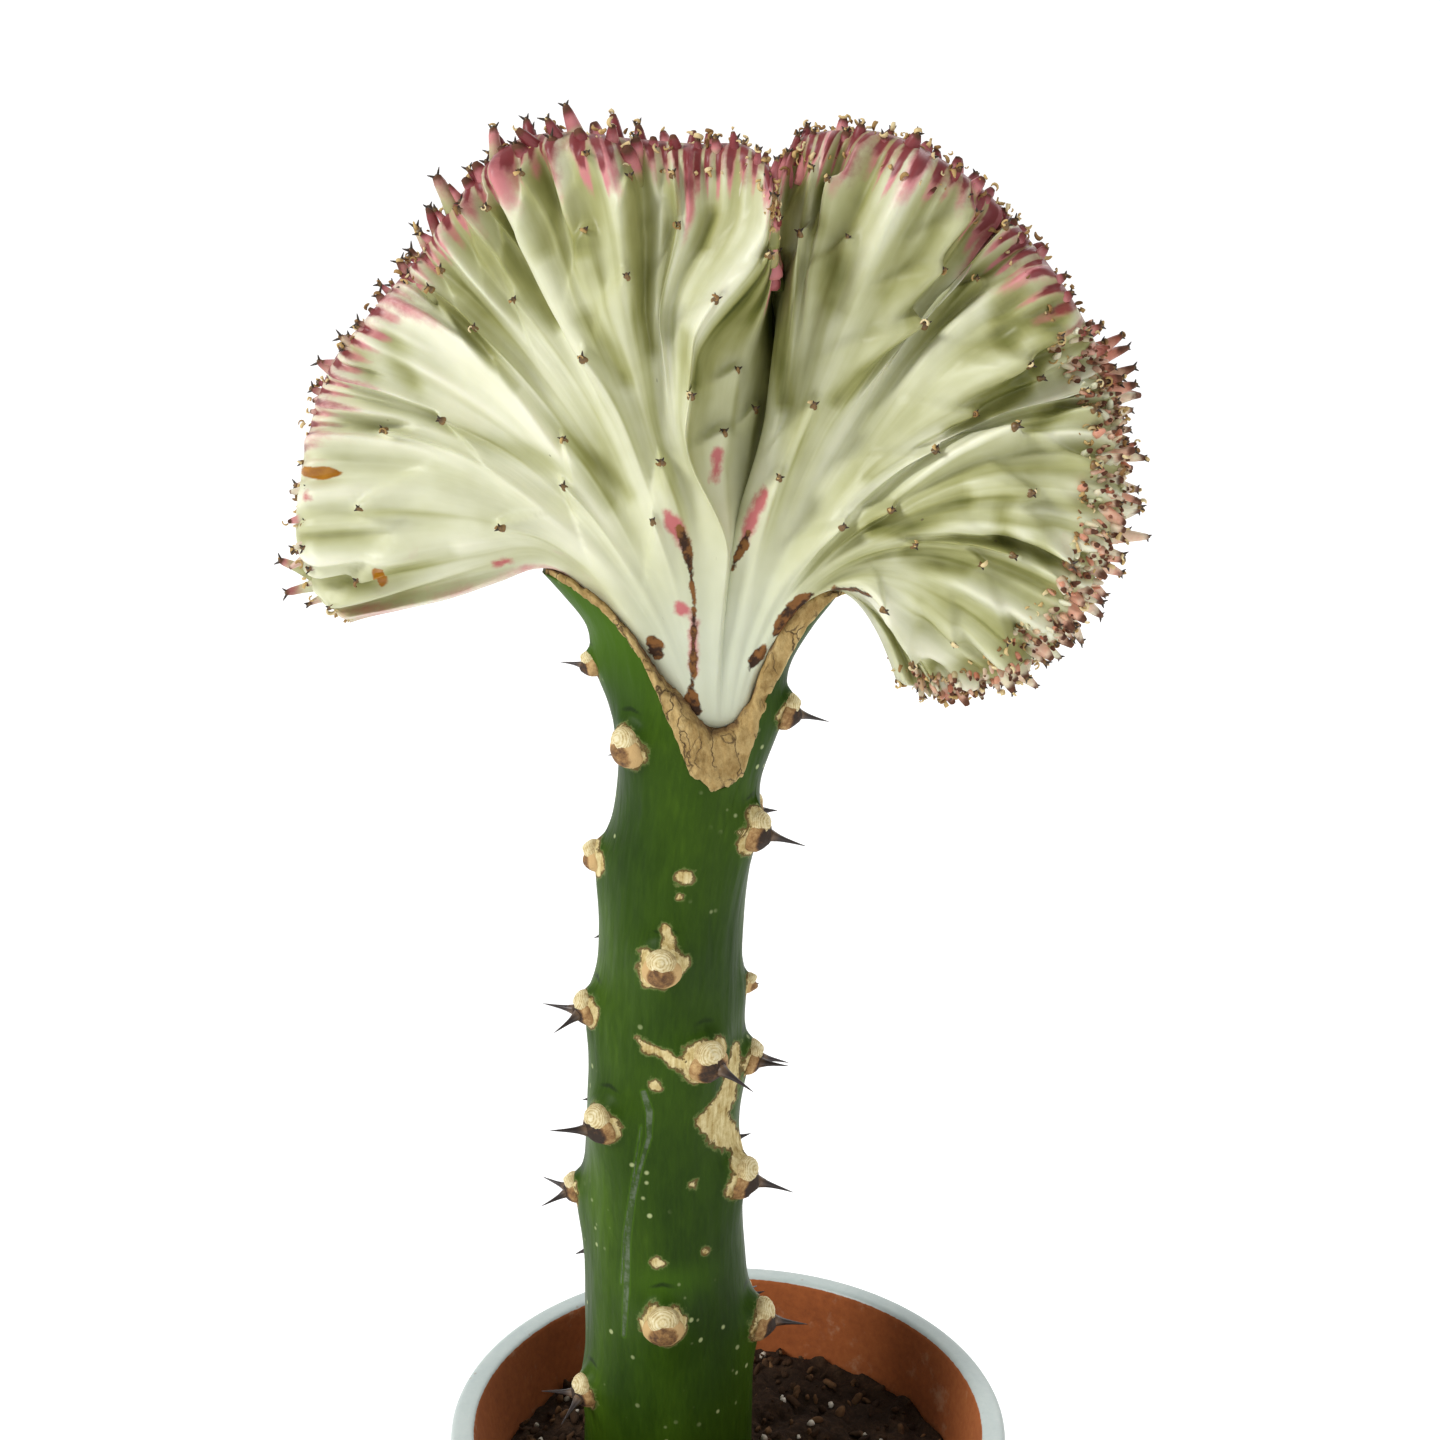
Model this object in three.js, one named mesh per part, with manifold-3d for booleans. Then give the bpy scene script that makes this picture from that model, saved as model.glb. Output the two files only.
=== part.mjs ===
// Potted coral cactus: a crested fan grafted into the forked top of a thorny green
// rootstock, which stands in soil in a round clay pot. Millimetres, +Z up. The origin
// is the centre of the pot's underside, and the fan's broad face looks along -Y.

import * as THREE from "three";
import { mergeVertices } from "three/addons/utils/BufferGeometryUtils.js";
import Module from "manifold-3d";

const wasm = await Module();
wasm.setup();

// Driving dimensions

const clearance = 0.35; // between pieces that touch
const cutGap = 0.6; // the same, upright, on the steep sides of the fork

const pot = {
  height: 92,
  lipRadius: 52.5,
  lipWidth: 4.5,
  bandHeight: 17, // the thicker band below the lip
  bandStep: 3.4, // how far it stands out
  edgeRound: 1, // how much the edges are rounded off
  footRadius: 37,
  floor: 5,
  wall: 3.6,
  sides: 56,
  drainRadius: 4,
  drainRing: 21, // where the drain holes lie, from the centre
  drainCount: 4,
};

const soil = {
  top: 77,
  lump: 0.66,
  mound: 1.2, // how far it rises round the stem
  moundReach: 22,
  slack: 0.6, // between it and the pot's wall
  edgeDrop: 1.6,
  sides: 36,
};

const stem = {
  foot: 45, // the buried end
  plainTop: 80, // a plain round post up to here
  radius: 16,
  x: -11.5,
  sides: 40,
};

// Height, centre in x, half width and half depth of the stem
const stemStations = [
  [45, -11.5, 16, 16],
  [80, -11.5, 16, 16],
  [100, -11.2, 15.7, 15.5],
  [124, -11.6, 14.9, 14.7],
  [142, -12.1, 14.1, 14.0],
  [162, -11.8, 13.4, 13.4],
  [186, -10.4, 12.7, 12.9],
  [206, -8.9, 12.4, 12.6],
  [218, -7.1, 12.1, 12.5],
  [226, -6.1, 12.7, 12.6],
  [234, -5.8, 14.2, 12.6],
  [241, -5.6, 16.4, 12.4],
  [247, -4.8, 19.2, 11.8],
  [252, -4.8, 23.0, 11.0],
  [258, -5.6, 27.5, 9.8],
];

// The forked cut, as x and height, from the left arm's tip to the right arm's tip
const notchPoints = [
  [-33, 256.2],
  [-29.5, 256.0],
  [-24, 253.6],
  [-19.2, 249.8],
  [-15.2, 244.8],
  [-12, 239.2],
  [-9.6, 233.5],
  [-6.5, 225.8],
  [-3.8, 222.4],
  [-0.8, 221.5],
  [2.3, 224.0],
  [4.3, 230.4],
  [6.7, 236.8],
  [9.2, 242.0],
  [11.6, 246.2],
  [14.8, 250.4],
  [17.7, 252.4],
  [23, 253.6],
];

// Thorn knobs that the front shows: turn from the front in degrees, height, size, and
// which of its spines are left, -1 for the left one, 1 for the right one, 2 for both
const frontKnobs = [
  [-82, 241, 0.7, -1],
  [-46, 229, 1.1, 0],
  [80, 233, 1.0, 1],
  [62, 213, 1.1, 1],
  [-88, 206, 0.9, 0],
  [-5, 191, 1.1, 0],
  [-73, 179, 1.0, 2],
  [95, 181, 0.6, 0],
  [30, 173, 1.2, 1],
  [86, 168, 1.0, 2],
  [-43, 160, 1.15, -1],
  [65, 147, 1.2, 1],
  [-90, 141, 0.9, 2],
  [0, 123, 1.2, 0],
  [78, 116, 1.25, 1],
  [-60, 104, 1.0, 2],
];
const backKnobs = { count: 13, low: 98, rise: 11, turns: [180, 128, 226], wander: 14 };

const knob = {
  radius: 3.0,
  sunk: 1.05, // how deep the knob's middle lies in the stem
  swell: 1.9, // how far the stem swells round it
  around: 5.6, // and how wide, how far above it and how far below it
  above: 4.2,
  below: 9.5,
  spine: 5.2,
  spineRadius: 0.75,
  spread: 0.55,
};

// The fan's growing edge, as x, depth and height, from its lower left to its lower right
const marginPoints = [
  [-64.5, 2, 247],
  [-70, 1, 253],
  [-71.5, -2, 262],
  [-70.5, -2, 272],
  [-68.5, 0, 282],
  [-65, 3, 290.5],
  [-58, 2, 299],
  [-50.5, 3, 307.5],
  [-44.5, 4.5, 315.5],
  [-39.5, 2, 321],
  [-34, -3, 325.5],
  [-26, -5, 327],
  [-15, -3, 326],
  [-5, -4, 325],
  [1, -7, 324],
  [4.6, -9, 319.5],
  [6.3, -6.3, 313],
  [8.8, -0.5, 310.2],
  [11.5, 4.5, 313.2],
  [13.5, 5.5, 319.5],
  [16.2, 4, 324.5],
  [21, 1, 326.5],
  [27, -3, 326],
  [35.5, -2, 321.5],
  [43.5, 1, 315.5],
  [50, -1, 308],
  [55.5, -3, 300],
  [60.5, -3, 291],
  [63, -5, 281],
  [63.5, -7, 271.5],
  [62, -9, 262],
  [58, -9, 252.5],
  [52, -6, 244.5],
  [43.5, -3, 237.5],
  [35, 0, 235],
  [28.5, 2, 237],
];

const fan = {
  focusX: -1.5, // where the ribs draw together
  focusZ: 233.5,
  nearSweep: 0.63, // the most that a rib leans as it leaves the root, in radians
  nearTilt: -0.09,
  nearSpread: 0.85,
  evenShare: 0.78, // how far the lean follows the edge's direction, not its length
  farSweep: 0.57,
  farSpread: 0.55,
  mostLean: 1.45,
  rootReach: 20,
  shoulderBase: 30,
  shoulderShare: 0.27,
  rootHalfWidth: 5.2,
  rootDip: 3.4,
  rootTwist: 1.6, // the left side of the root stands further forward
  rootThick: 9.0, // half thickness
  midThick: 4.6,
  edgeThick: 2.3,
  foldThick: 1.35, // times as thick in the deep fold
  foot: 12, // how long the sheet's section is at the root and at the edge
  girth: 350,
  ribs: 84, // at the growing edge
  ribHeight: 1.6,
  waves: 10.5,
  waveHeight: 1.6,
  foldAt: 0.475, // the deep fold between the two lobes
  foldInner: 0.045,
  foldOuter: 0.13,
  teeth: 2.9,
  fingerRadius: 1.25,
  fingerSunk: 1.6,
  foldTeeth: { at: 0.449, from: 0.78, to: 0.98, count: 9, length: 3.6, radius: 1.7, sunk: 1.2 },
  bumps: { count: 30, length: 2.6, radius: 1.5, sunk: 1.7 },
};

// Where the callus ends on the left arm and on the right arm, in x
const callusEnds = [-27, 16];

// How long the teeth are along the growing edge, as share of its length and factor
const toothLengths = [
  [0, 0.5],
  [0.05, 1.1],
  [0.1, 0.5],
  [0.2, 0.9],
  [0.25, 1.4],
  [0.33, 1.4],
  [0.38, 0.8],
  [0.43, 0.7],
  [0.45, 0.15],
  [0.52, 0.15],
  [0.54, 0.7],
  [0.72, 0.8],
  [0.8, 1.2],
  [0.95, 1.3],
  [1, 0.6],
];

// Blunt fingers that stand out beyond the edge: from and to along it, count, length, face
const fingerRows = [
  [0.2, 0.345, 13, 4.2, 1],
  [0.77, 0.985, 36, 7.6, -1],
  [0.75, 0.97, 22, 4.4, 1],
  [0.02, 0.09, 6, 4.2, -1],
];

// Pointed knobs of the front face: x, height and size
const frontBumps = [
  [55, 261, 1.5],
  [47, 263, 1.5],
  [41.5, 273, 1.3],
  [27.5, 296, 1.2],
  [37.5, 271, 1.1],
  [61, 270, 1.3],
  [39.5, 248, 1.1],
  [47, 247, 1.1],
  [27, 266, 1.0],
  [31, 261, 1.0],
  [19, 264, 1.0],
  [32.5, 275, 1.1],
  [16.5, 317, 0.9],
  [17, 307, 0.9],
  [38, 312, 1.0],
  [47, 305, 1.0],
  [-26.5, 277, 1.0],
  [-26.5, 269, 1.0],
  [-36.5, 264, 1.0],
  [-56.5, 278, 1.0],
  [-45.5, 281, 1.0],
  [-21, 292, 1.0],
  [-6.5, 285, 1.1],
  [-2.8, 301, 1.0],
  [1.5, 288, 1.0],
  [-10.5, 274, 1.0],
  [-38, 312, 1.0],
  [-31, 319, 1.0],
  [-17, 317, 0.9],
  [-9, 318, 0.9],
  [-47, 302, 1.0],
  [-59.5, 266, 1.0],
  [-17.5, 301, 0.9],
];

// Small helpers

const smooth = (low, high, x) => THREE.MathUtils.smoothstep(x, low, high);
const mix = THREE.MathUtils.lerp;
const radians = THREE.MathUtils.degToRad;

// Repeatable random numbers from 0 to 1
function seeded(seed) {
  let state = seed;
  return () => {
    state = (state * 1664525 + 1013904223) % 4294967296;
    return state / 4294967296;
  };
}

// A row of numbers read off a table of stations by a smooth curve through them
function stationCurve(stations) {
  const columns = stations[0].length - 1;
  const curves = [];
  for (let c = 1; c <= columns; c++) {
    const points = stations.map((s) => new THREE.Vector2(s[0], s[c]));
    curves.push(points);
  }
  return (x) =>
    curves.map((points) => {
      let i = 0;
      while (i < points.length - 2 && x > points[i + 1].x) i++;
      const a = points[Math.max(i - 1, 0)];
      const b = points[i];
      const c = points[i + 1];
      const d = points[Math.min(i + 2, points.length - 1)];
      const span = c.x - b.x;
      const t = THREE.MathUtils.clamp((x - b.x) / span, 0, 1);
      const slopeB = (c.y - a.y) / (c.x - a.x);
      const slopeC = (d.y - b.y) / (d.x - b.x);
      const t2 = t * t;
      const t3 = t2 * t;
      const rise = (2 * t3 - 3 * t2 + 1) * b.y + (-2 * t3 + 3 * t2) * c.y;
      return rise + (t3 - 2 * t2 + t) * span * slopeB + (t3 - t2) * span * slopeC;
    });
}

// Indexed geometry from points and triangles
function meshOf(points, triangles) {
  const geometry = new THREE.BufferGeometry();
  geometry.setAttribute("position", new THREE.Float32BufferAttribute(points.flat(), 3));
  geometry.setIndex(triangles.flat());
  return geometry;
}

// A solid for joining and cutting, with its faces turned outwards
function solidOf(geometry) {
  const plain = geometry.clone();
  plain.deleteAttribute("normal");
  plain.deleteAttribute("uv");
  const merged = mergeVertices(plain, 1e-4);
  const build = (triVerts) =>
    new wasm.Manifold(
      new wasm.Mesh({
        numProp: 3,
        vertProperties: new Float32Array(merged.attributes.position.array),
        triVerts,
      }),
    );
  const indices = new Uint32Array(merged.index.array);
  const made = build(indices);
  return made.volume() < 0 ? build(indices.reverse()) : made;
}

function geometryOf(solid) {
  const mesh = solid.getMesh();
  const geometry = new THREE.BufferGeometry();
  const positions = new THREE.BufferAttribute(mesh.vertProperties, 3);
  geometry.setAttribute("position", positions);
  geometry.setIndex(new THREE.BufferAttribute(mesh.triVerts, 1));
  return geometry;
}

// The largest body of a solid, without any loose scraps
function mainBody(solid) {
  const bodies = solid.decompose();
  return bodies.sort((a, b) => b.volume() - a.volume())[0];
}

// A straight-sided spike from root along direction, its root sunk into what it grows from
function spike(root, direction, length, radius, sides, sunk, turn = 0) {
  const cone = new THREE.ConeGeometry(radius, length + sunk, sides);
  cone.rotateY(turn);
  cone.translate(0, (length + sunk) / 2 - sunk, 0);
  const up = new THREE.Vector3(0, 1, 0);
  const aim = new THREE.Quaternion().setFromUnitVectors(up, direction.clone().normalize());
  cone.applyQuaternion(aim);
  cone.translate(root.x, root.y, root.z);
  return solidOf(cone);
}

function named(name, geometry, color, roughness) {
  const material = new THREE.MeshStandardMaterial({ color, roughness, metalness: 0 });
  geometry.computeVertexNormals();
  const mesh = new THREE.Mesh(geometry, material);
  mesh.name = name;
  return mesh;
}

// Pot: a plain tapered clay pot with a flat lip, a band below it and drain holes

function potInnerRadius(z) {
  const top = pot.lipRadius - pot.lipWidth;
  const low = pot.footRadius - pot.wall;
  return mix(low, top, (z - pot.floor) / (pot.height - pot.floor));
}

function makePot() {
  const bandFoot = pot.height - pot.bandHeight;
  const under = pot.lipRadius - pot.bandStep;
  const inner = pot.lipRadius - pot.lipWidth;
  const edge = pot.edgeRound;
  const profile = [
    [0, 0],
    [pot.footRadius - edge, 0],
    [pot.footRadius, edge],
    [under - 1.6 * edge, bandFoot - edge],
    [under, bandFoot],
    [pot.lipRadius - edge, bandFoot + 0.8 * edge],
    [pot.lipRadius - 0.4 * edge, bandFoot + 2 * edge],
    [pot.lipRadius, pot.height - 1.4 * edge],
    [pot.lipRadius - 0.9 * edge, pot.height],
    [inner + 0.9 * edge, pot.height],
    [inner, pot.height - 1.2 * edge],
    [potInnerRadius(pot.floor + 3), pot.floor + 3],
    [potInnerRadius(pot.floor) - 2.5, pot.floor],
    [0, pot.floor],
  ].map(([r, z]) => new THREE.Vector2(r, z));
  const shell = new THREE.LatheGeometry(profile, pot.sides);
  shell.rotateX(Math.PI / 2);
  let solid = solidOf(shell);
  for (let i = 0; i < pot.drainCount; i++) {
    const turn = ((i + 0.5) / pot.drainCount) * 2 * Math.PI;
    const drill = new THREE.CylinderGeometry(pot.drainRadius, pot.drainRadius, 4 * pot.floor, 12);
    drill.rotateX(Math.PI / 2);
    drill.translate(pot.drainRing * Math.cos(turn), pot.drainRing * Math.sin(turn), pot.floor / 2);
    solid = solid.subtract(solidOf(drill));
  }
  return geometryOf(solid);
}

// Soil: one plug that fills the pot, lumpy on top, with a plain hole for the stem

function soilHeight(x, y) {
  const near = Math.exp(-((x - stem.x) ** 2 + y * y) / soil.moundReach ** 2);
  const fine = Math.sin(x * 0.41 + 1.3) * Math.cos(y * 0.37);
  const broad = Math.sin(x * 0.23 - y * 0.53);
  return soil.top + soil.lump * (fine + 0.7 * broad) + soil.mound * near;
}

function makeSoil() {
  const low = pot.floor + clearance;
  const corner = 3; // how much its lower edge is cut off
  const rings = [0.93, 0.82, 0.68, 0.52, 0.34, 0.16];
  const radius = (z) => potInnerRadius(z) - soil.slack;
  const points = [[0, 0, low]];
  const triangles = [];
  const ring = (at) => {
    for (let i = 0; i < soil.sides; i++) {
      const turn = (i / soil.sides) * 2 * Math.PI;
      points.push(at(Math.cos(turn), Math.sin(turn)));
    }
  };
  const rounded = (r, z) => ring((c, s) => [r * c, r * s, z]);
  rounded(radius(low) - corner, low);
  rounded(radius(low + corner), low + corner);
  rounded(radius(soil.top), soil.top - soil.edgeDrop);
  for (const share of rings) {
    const r = radius(soil.top) * share;
    ring((c, s) => [r * c, r * s, soilHeight(r * c, r * s)]);
  }
  const ringCount = rings.length + 3;
  const at = (k, i) => 1 + k * soil.sides + (i % soil.sides);
  const middle = points.length;
  points.push([0, 0, soilHeight(0, 0)]);
  for (let i = 0; i < soil.sides; i++) {
    triangles.push([0, at(0, i + 1), at(0, i)]);
    for (let k = 0; k + 1 < ringCount; k++) {
      triangles.push([at(k, i), at(k, i + 1), at(k + 1, i + 1)]);
      triangles.push([at(k, i), at(k + 1, i + 1), at(k + 1, i)]);
    }
    triangles.push([at(ringCount - 1, i), at(ringCount - 1, i + 1), middle]);
  }
  const depth = soil.top;
  const wide = stem.radius + clearance;
  const hole = new THREE.CylinderGeometry(wide, wide, depth, stem.sides);
  hole.rotateX(Math.PI / 2);
  hole.translate(stem.x, 0, stem.foot - clearance + depth / 2);
  return geometryOf(solidOf(meshOf(points, triangles)).subtract(solidOf(hole)));
}

// Rootstock: the forked stem, its swollen knobs and their paired spines in one solid

const stemAt = stationCurve(stemStations);
const notchAt = stationCurve(notchPoints);

function allKnobs() {
  const knobs = frontKnobs.map(([turn, z, size, spines]) => ({
    turn: radians(turn),
    z,
    size,
    spines,
  }));
  const draw = seeded(7);
  const { count, low, rise, turns, wander } = backKnobs;
  for (let k = 0; k < count; k++) {
    const turn = turns[k % turns.length] + wander * (draw() - 0.5);
    const z = low + rise * (k + 0.4 * draw());
    knobs.push({ turn: radians(turn), z, size: 0.9 + 0.3 * draw(), spines: 2 });
  }
  return knobs;
}

const knobs = allKnobs();

// How far the stem's skin swells round its knobs
function swelling(turn, z, halfWidth) {
  let total = 0;
  for (const k of knobs) {
    const around = halfWidth * Math.sin(Math.abs(turn - k.turn) / 2) * 2;
    const up = z - k.z;
    const tall = up > 0 ? knob.above : knob.below;
    const near = Math.exp(-((around / knob.around) ** 2) - (up / tall) ** 2);
    total += knob.swell * k.size * near;
  }
  return total * smooth(stem.plainTop, stem.plainTop + 12, z);
}

// A point of the stem's skin. The turn is 0 at the front and grows towards +X.
function stemPoint(turn, z) {
  const [x, halfWidth, halfDepth] = stemAt(z);
  const swell = swelling(turn, z, halfWidth);
  return new THREE.Vector3(
    x + (halfWidth + swell) * Math.sin(turn),
    -(halfDepth + swell) * Math.cos(turn),
    z,
  );
}

// Where the stem's columns of points end on the fork, evenly along the cut. Lower down
// they stand evenly round the stem instead.
function forkShares(count) {
  const across = 2; // crowds them at the bottom of the fork
  const line = new THREE.SplineCurve(notchPoints.map(([x, z]) => new THREE.Vector2(across * x, z)));
  const shares = [];
  for (let j = 0; j < count; j++) {
    const x = line.getPointAt((j + 0.5) / count).x / across;
    const [centre, halfWidth] = stemAt(notchAt(x)[0]);
    shares.push(THREE.MathUtils.clamp((x - centre) / halfWidth, -0.99, 0.99));
  }
  return shares;
}

const turnAt = (share, front) => (front ? Math.asin(share) : Math.PI - Math.asin(share));

// The point where a column of the skin with this share meets the fork
function forkPoint(share, front) {
  const turn = turnAt(share, front);
  let top = 240; // a first guess, which each round brings nearer
  for (let k = 0; k < 12; k++) top = notchAt(stemPoint(turn, top).x)[0];
  return stemPoint(turn, top);
}

const shares = forkShares(stem.sides / 2);
const forkLine = shares.map((share) => forkPoint(share, true)).map((p) => [p.x, p.z]);

function makeStemBody() {
  const levels = 24;
  const evenUpTo = 202; // from here up the columns draw over to their places on the cut
  const n = stem.sides;
  const half = n / 2;
  const points = [];
  const triangles = [];
  for (let i = 0; i < n; i++) {
    const front = i < half;
    const j = front ? i : n - 1 - i;
    const even = Math.sin(((j + 0.5) / half - 0.5) * Math.PI);
    const top = forkPoint(shares[j], front).z;
    points.push(stemPoint(turnAt(even, front), stem.foot).toArray());
    for (let k = 0; k <= levels; k++) {
      const z = mix(stem.plainTop, top, k / levels);
      const share = mix(even, shares[j], smooth(evenUpTo, top - 1, z));
      points.push(stemPoint(turnAt(share, front), z).toArray());
    }
  }
  const rows = levels + 2;
  const at = (i, k) => (i % n) * rows + k;
  for (let i = 0; i < n; i++) {
    for (let k = 0; k + 1 < rows; k++) {
      triangles.push([at(i, k), at(i + 1, k), at(i + 1, k + 1)]);
      triangles.push([at(i, k), at(i + 1, k + 1), at(i, k + 1)]);
    }
  }
  const foot = points.length;
  points.push([stem.x, 0, stem.foot]);
  for (let i = 0; i < n; i++) triangles.push([foot, at(i + 1, 0), at(i, 0)]);
  // The cut's floor runs straight from each front point to the back point facing it
  const last = rows - 1;
  for (let i = 0; i + 1 < half; i++) {
    const [a, b, c, d] = [i, i + 1, n - 2 - i, n - 1 - i];
    triangles.push([at(a, last), at(b, last), at(c, last)]);
    triangles.push([at(a, last), at(c, last), at(d, last)]);
  }
  return { points, triangles };
}

function makeRootstock() {
  const { points, triangles } = makeStemBody();
  const parts = [solidOf(meshOf(points, triangles))];
  for (const k of knobs) {
    const root = stemPoint(k.turn, k.z);
    const out = new THREE.Vector3(Math.sin(k.turn), -Math.cos(k.turn), 0);
    const side = new THREE.Vector3(Math.cos(k.turn), Math.sin(k.turn), 0);
    const dome = new THREE.SphereGeometry(knob.radius * k.size, 7, 5);
    dome.scale(1, 1, 1.15);
    dome.translate(...root.clone().addScaledVector(out, -knob.sunk).toArray());
    parts.push(solidOf(dome));
    for (const hand of [-1, 1]) {
      if (k.spines !== 2 && k.spines !== hand) continue;
      const tip = out.clone().addScaledVector(side, hand * knob.spread);
      tip.z = -0.12 - 0.25 * hand;
      const from = root.clone().addScaledVector(out, 0.9 * k.size);
      from.addScaledVector(side, hand * 0.9 * k.size);
      from.z -= 1.1 * k.size;
      parts.push(spike(from, tip, knob.spine * k.size, knob.spineRadius, 3, 1.8));
    }
  }
  return geometryOf(mainBody(wasm.Manifold.union(parts)));
}

// Fan: a thick wavy sheet that spreads from a narrow root, ribbed on both faces

const margin = new THREE.CatmullRomCurve3(
  marginPoints.map((p) => new THREE.Vector3(...p)),
  false,
  "centripetal",
);
margin.arcLengthDivisions = 700;

// 1 on the open face of the fan, down to 0 in its deep fold
function openness(u) {
  return smooth(fan.foldInner, fan.foldOuter, Math.abs(u - fan.foldAt));
}

// A point of the sheet's middle. u runs along the growing edge, v from root to edge.
function fanMiddle(u, v) {
  const tip = margin.getPointAt(u);
  const dx = tip.x - fan.focusX;
  const dz = tip.z - fan.focusZ;
  const reach = Math.hypot(dx, dz);
  const lean = Math.min(Math.atan2(dx, dz), fan.mostLean);
  const side = 2 * u - 1;
  const even = fan.evenShare;
  const bend = (spread) => even * Math.tanh(lean / spread) + (1 - even) * side ** 3;
  const shoulder = fan.shoulderBase + fan.shoulderShare * reach;
  const aim = (turn, distance, depth) =>
    new THREE.Vector3(
      fan.focusX + distance * Math.sin(turn),
      depth,
      fan.focusZ + distance * Math.cos(turn),
    );
  const root = new THREE.Vector3(
    fan.focusX + fan.rootHalfWidth * side,
    fan.rootTwist * side,
    fan.focusZ - fan.rootDip * (1 - side * side),
  );
  const turn = fan.nearTilt + fan.nearSweep * bend(fan.nearSpread);
  const near = aim(turn, fan.rootReach, fan.rootTwist * side);
  const far = aim(fan.farSweep * bend(fan.farSpread), shoulder, 0.45 * tip.y);
  const curve = new THREE.CubicBezierCurve3(root, near, far, tip);
  const point = curve.getPoint(v);
  const wave = Math.sin(2 * Math.PI * fan.waves * u + 0.7);
  point.y += fan.waveHeight * v * v * wave * openness(u);
  return point;
}

// The way to the front: square to the sheet, but straight ahead round the cut root and
// in the tight fold, where the sheet would otherwise run into itself
function fanNormal(u, v) {
  const step = 0.002;
  const along = fanMiddle(Math.min(u + step, 1), v).sub(fanMiddle(Math.max(u - step, 0), v));
  const out = fanMiddle(u, Math.min(v + step, 1)).sub(fanMiddle(u, Math.max(v - step, 0)));
  const square = along.cross(out).normalize();
  const share = smooth(0.58, 0.9, v) * openness(u);
  return new THREE.Vector3(0, -1, 0).lerp(square, share).normalize();
}

// The way outwards along a rib
function fanOutward(u, v) {
  return fanMiddle(u, Math.min(v + 0.02, 1)).sub(fanMiddle(u, v - 0.02)).normalize();
}

// Ribs double in number twice on their way out, by new ones rising between the old
function ribHeight(u, v) {
  const rib = (count) => 0.5 + 0.5 * Math.cos(2 * Math.PI * count * u);
  const outer = smooth(0.6, 0.85, v);
  const middle = smooth(0.3, 0.5, v) * (1 - outer);
  const inner = 1 - outer - middle;
  const mixed = inner * rib(fan.ribs / 4) + middle * rib(fan.ribs / 2) + outer * rib(fan.ribs);
  return fan.ribHeight * smooth(0.18, 0.6, v) * mixed * mix(0.2, 1, openness(u));
}

// Half thickness of the sheet, blunt at its root and round at its outer borders
function halfThickness(u, v) {
  const inner = mix(fan.rootThick, fan.midThick, smooth(0, 0.6, v));
  const full = mix(inner, fan.edgeThick, smooth(0.45, 1, v));
  const length = mix(fan.foot, fan.girth, Math.pow(v, 1.9));
  const rim = Math.min(0.5, (1.1 * full) / length);
  const blunt = mix(4.5, 2, smooth(0.4, 0.8, v));
  const round = (share, power) =>
    Math.pow(1 - Math.pow(1 - Math.min(share, 1), power), 1 / power);
  const sides = round(Math.min(u, 1 - u) / rim, blunt);
  const ends = round(v / 0.07, 4.5) * round((1 - v) / 0.03, 2);
  const steep = mix(1, fan.foldThick, smooth(0.4, 0.8, v) * (1 - openness(u)));
  return { half: full * steep * sides * ends, ribs: sides * ends };
}

// A point of the fan's skin, on its front for face 1 and its back for face -1
function fanSurface(u, v, face) {
  const { half, ribs } = halfThickness(u, v);
  const shift = face > 0 ? 0 : 0.5 / fan.ribs;
  const rise = half + ribs * ribHeight(u + shift, v);
  return fanMiddle(u, v).addScaledVector(fanNormal(u, v), face * rise);
}

// Rows of the fan's skin, as share of the way out and columns stepped over
const fanRows = [
  [0, 8], [0.025, 8], [0.1, 4], [0.22, 4], [0.34, 4], [0.45, 2], [0.56, 2],
  [0.67, 2], [0.78, 1], [0.88, 1], [0.95, 1], [0.985, 1], [1, 1],
];

const toothLengthAt = stationCurve(toothLengths);

// The growing edge itself runs in and out, with one tooth to a rib
function edgePoint(column, columns, draw) {
  const u = column / columns;
  const [factor] = toothLengthAt(u);
  const rib = column % 2 === 0;
  const long = rib ? fan.teeth * factor * (0.7 + 0.6 * draw()) : -0.4;
  const sway = rib ? (draw() - 0.5) * 3.4 : 0;
  return fanMiddle(u, 1)
    .addScaledVector(fanOutward(u, 0.985), long)
    .addScaledVector(fanNormal(u, 0.985), sway);
}

function makeFanSheet() {
  const columns = 2 * fan.ribs;
  const draw = seeded(11);
  const points = [];
  const triangles = [];
  const index = new Map();
  const last = fanRows.length - 1;
  const place = (face, row, column) => {
    if (row === last) return edgePoint(column, columns, draw);
    return fanSurface(column / columns, fanRows[row][0], face);
  };
  const add = (face, row, column) => {
    const border = row === 0 || row === last || column === 0 || column === columns;
    const key = `${border ? 0 : face} ${row} ${column}`;
    if (!index.has(key)) {
      index.set(key, points.length);
      points.push(place(face, row, column).toArray());
    }
    return index.get(key);
  };
  for (const face of [-1, 1]) {
    const put = (a, b, c) => triangles.push(face > 0 ? [a, c, b] : [a, b, c]);
    for (let row = 0; row < last; row++) {
      const [stepA, stepB] = [fanRows[row][1], fanRows[row + 1][1]];
      let a = 0;
      let b = 0;
      while (a < columns || b < columns) {
        const inner = a < columns && (b >= columns || a + stepA <= b + stepB);
        if (inner) {
          put(add(face, row, a), add(face, row + 1, b), add(face, row, a + stepA));
          a += stepA;
        } else {
          put(add(face, row, a), add(face, row + 1, b), add(face, row + 1, b + stepB));
          b += stepB;
        }
      }
    }
  }
  return meshOf(points, triangles);
}

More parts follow.
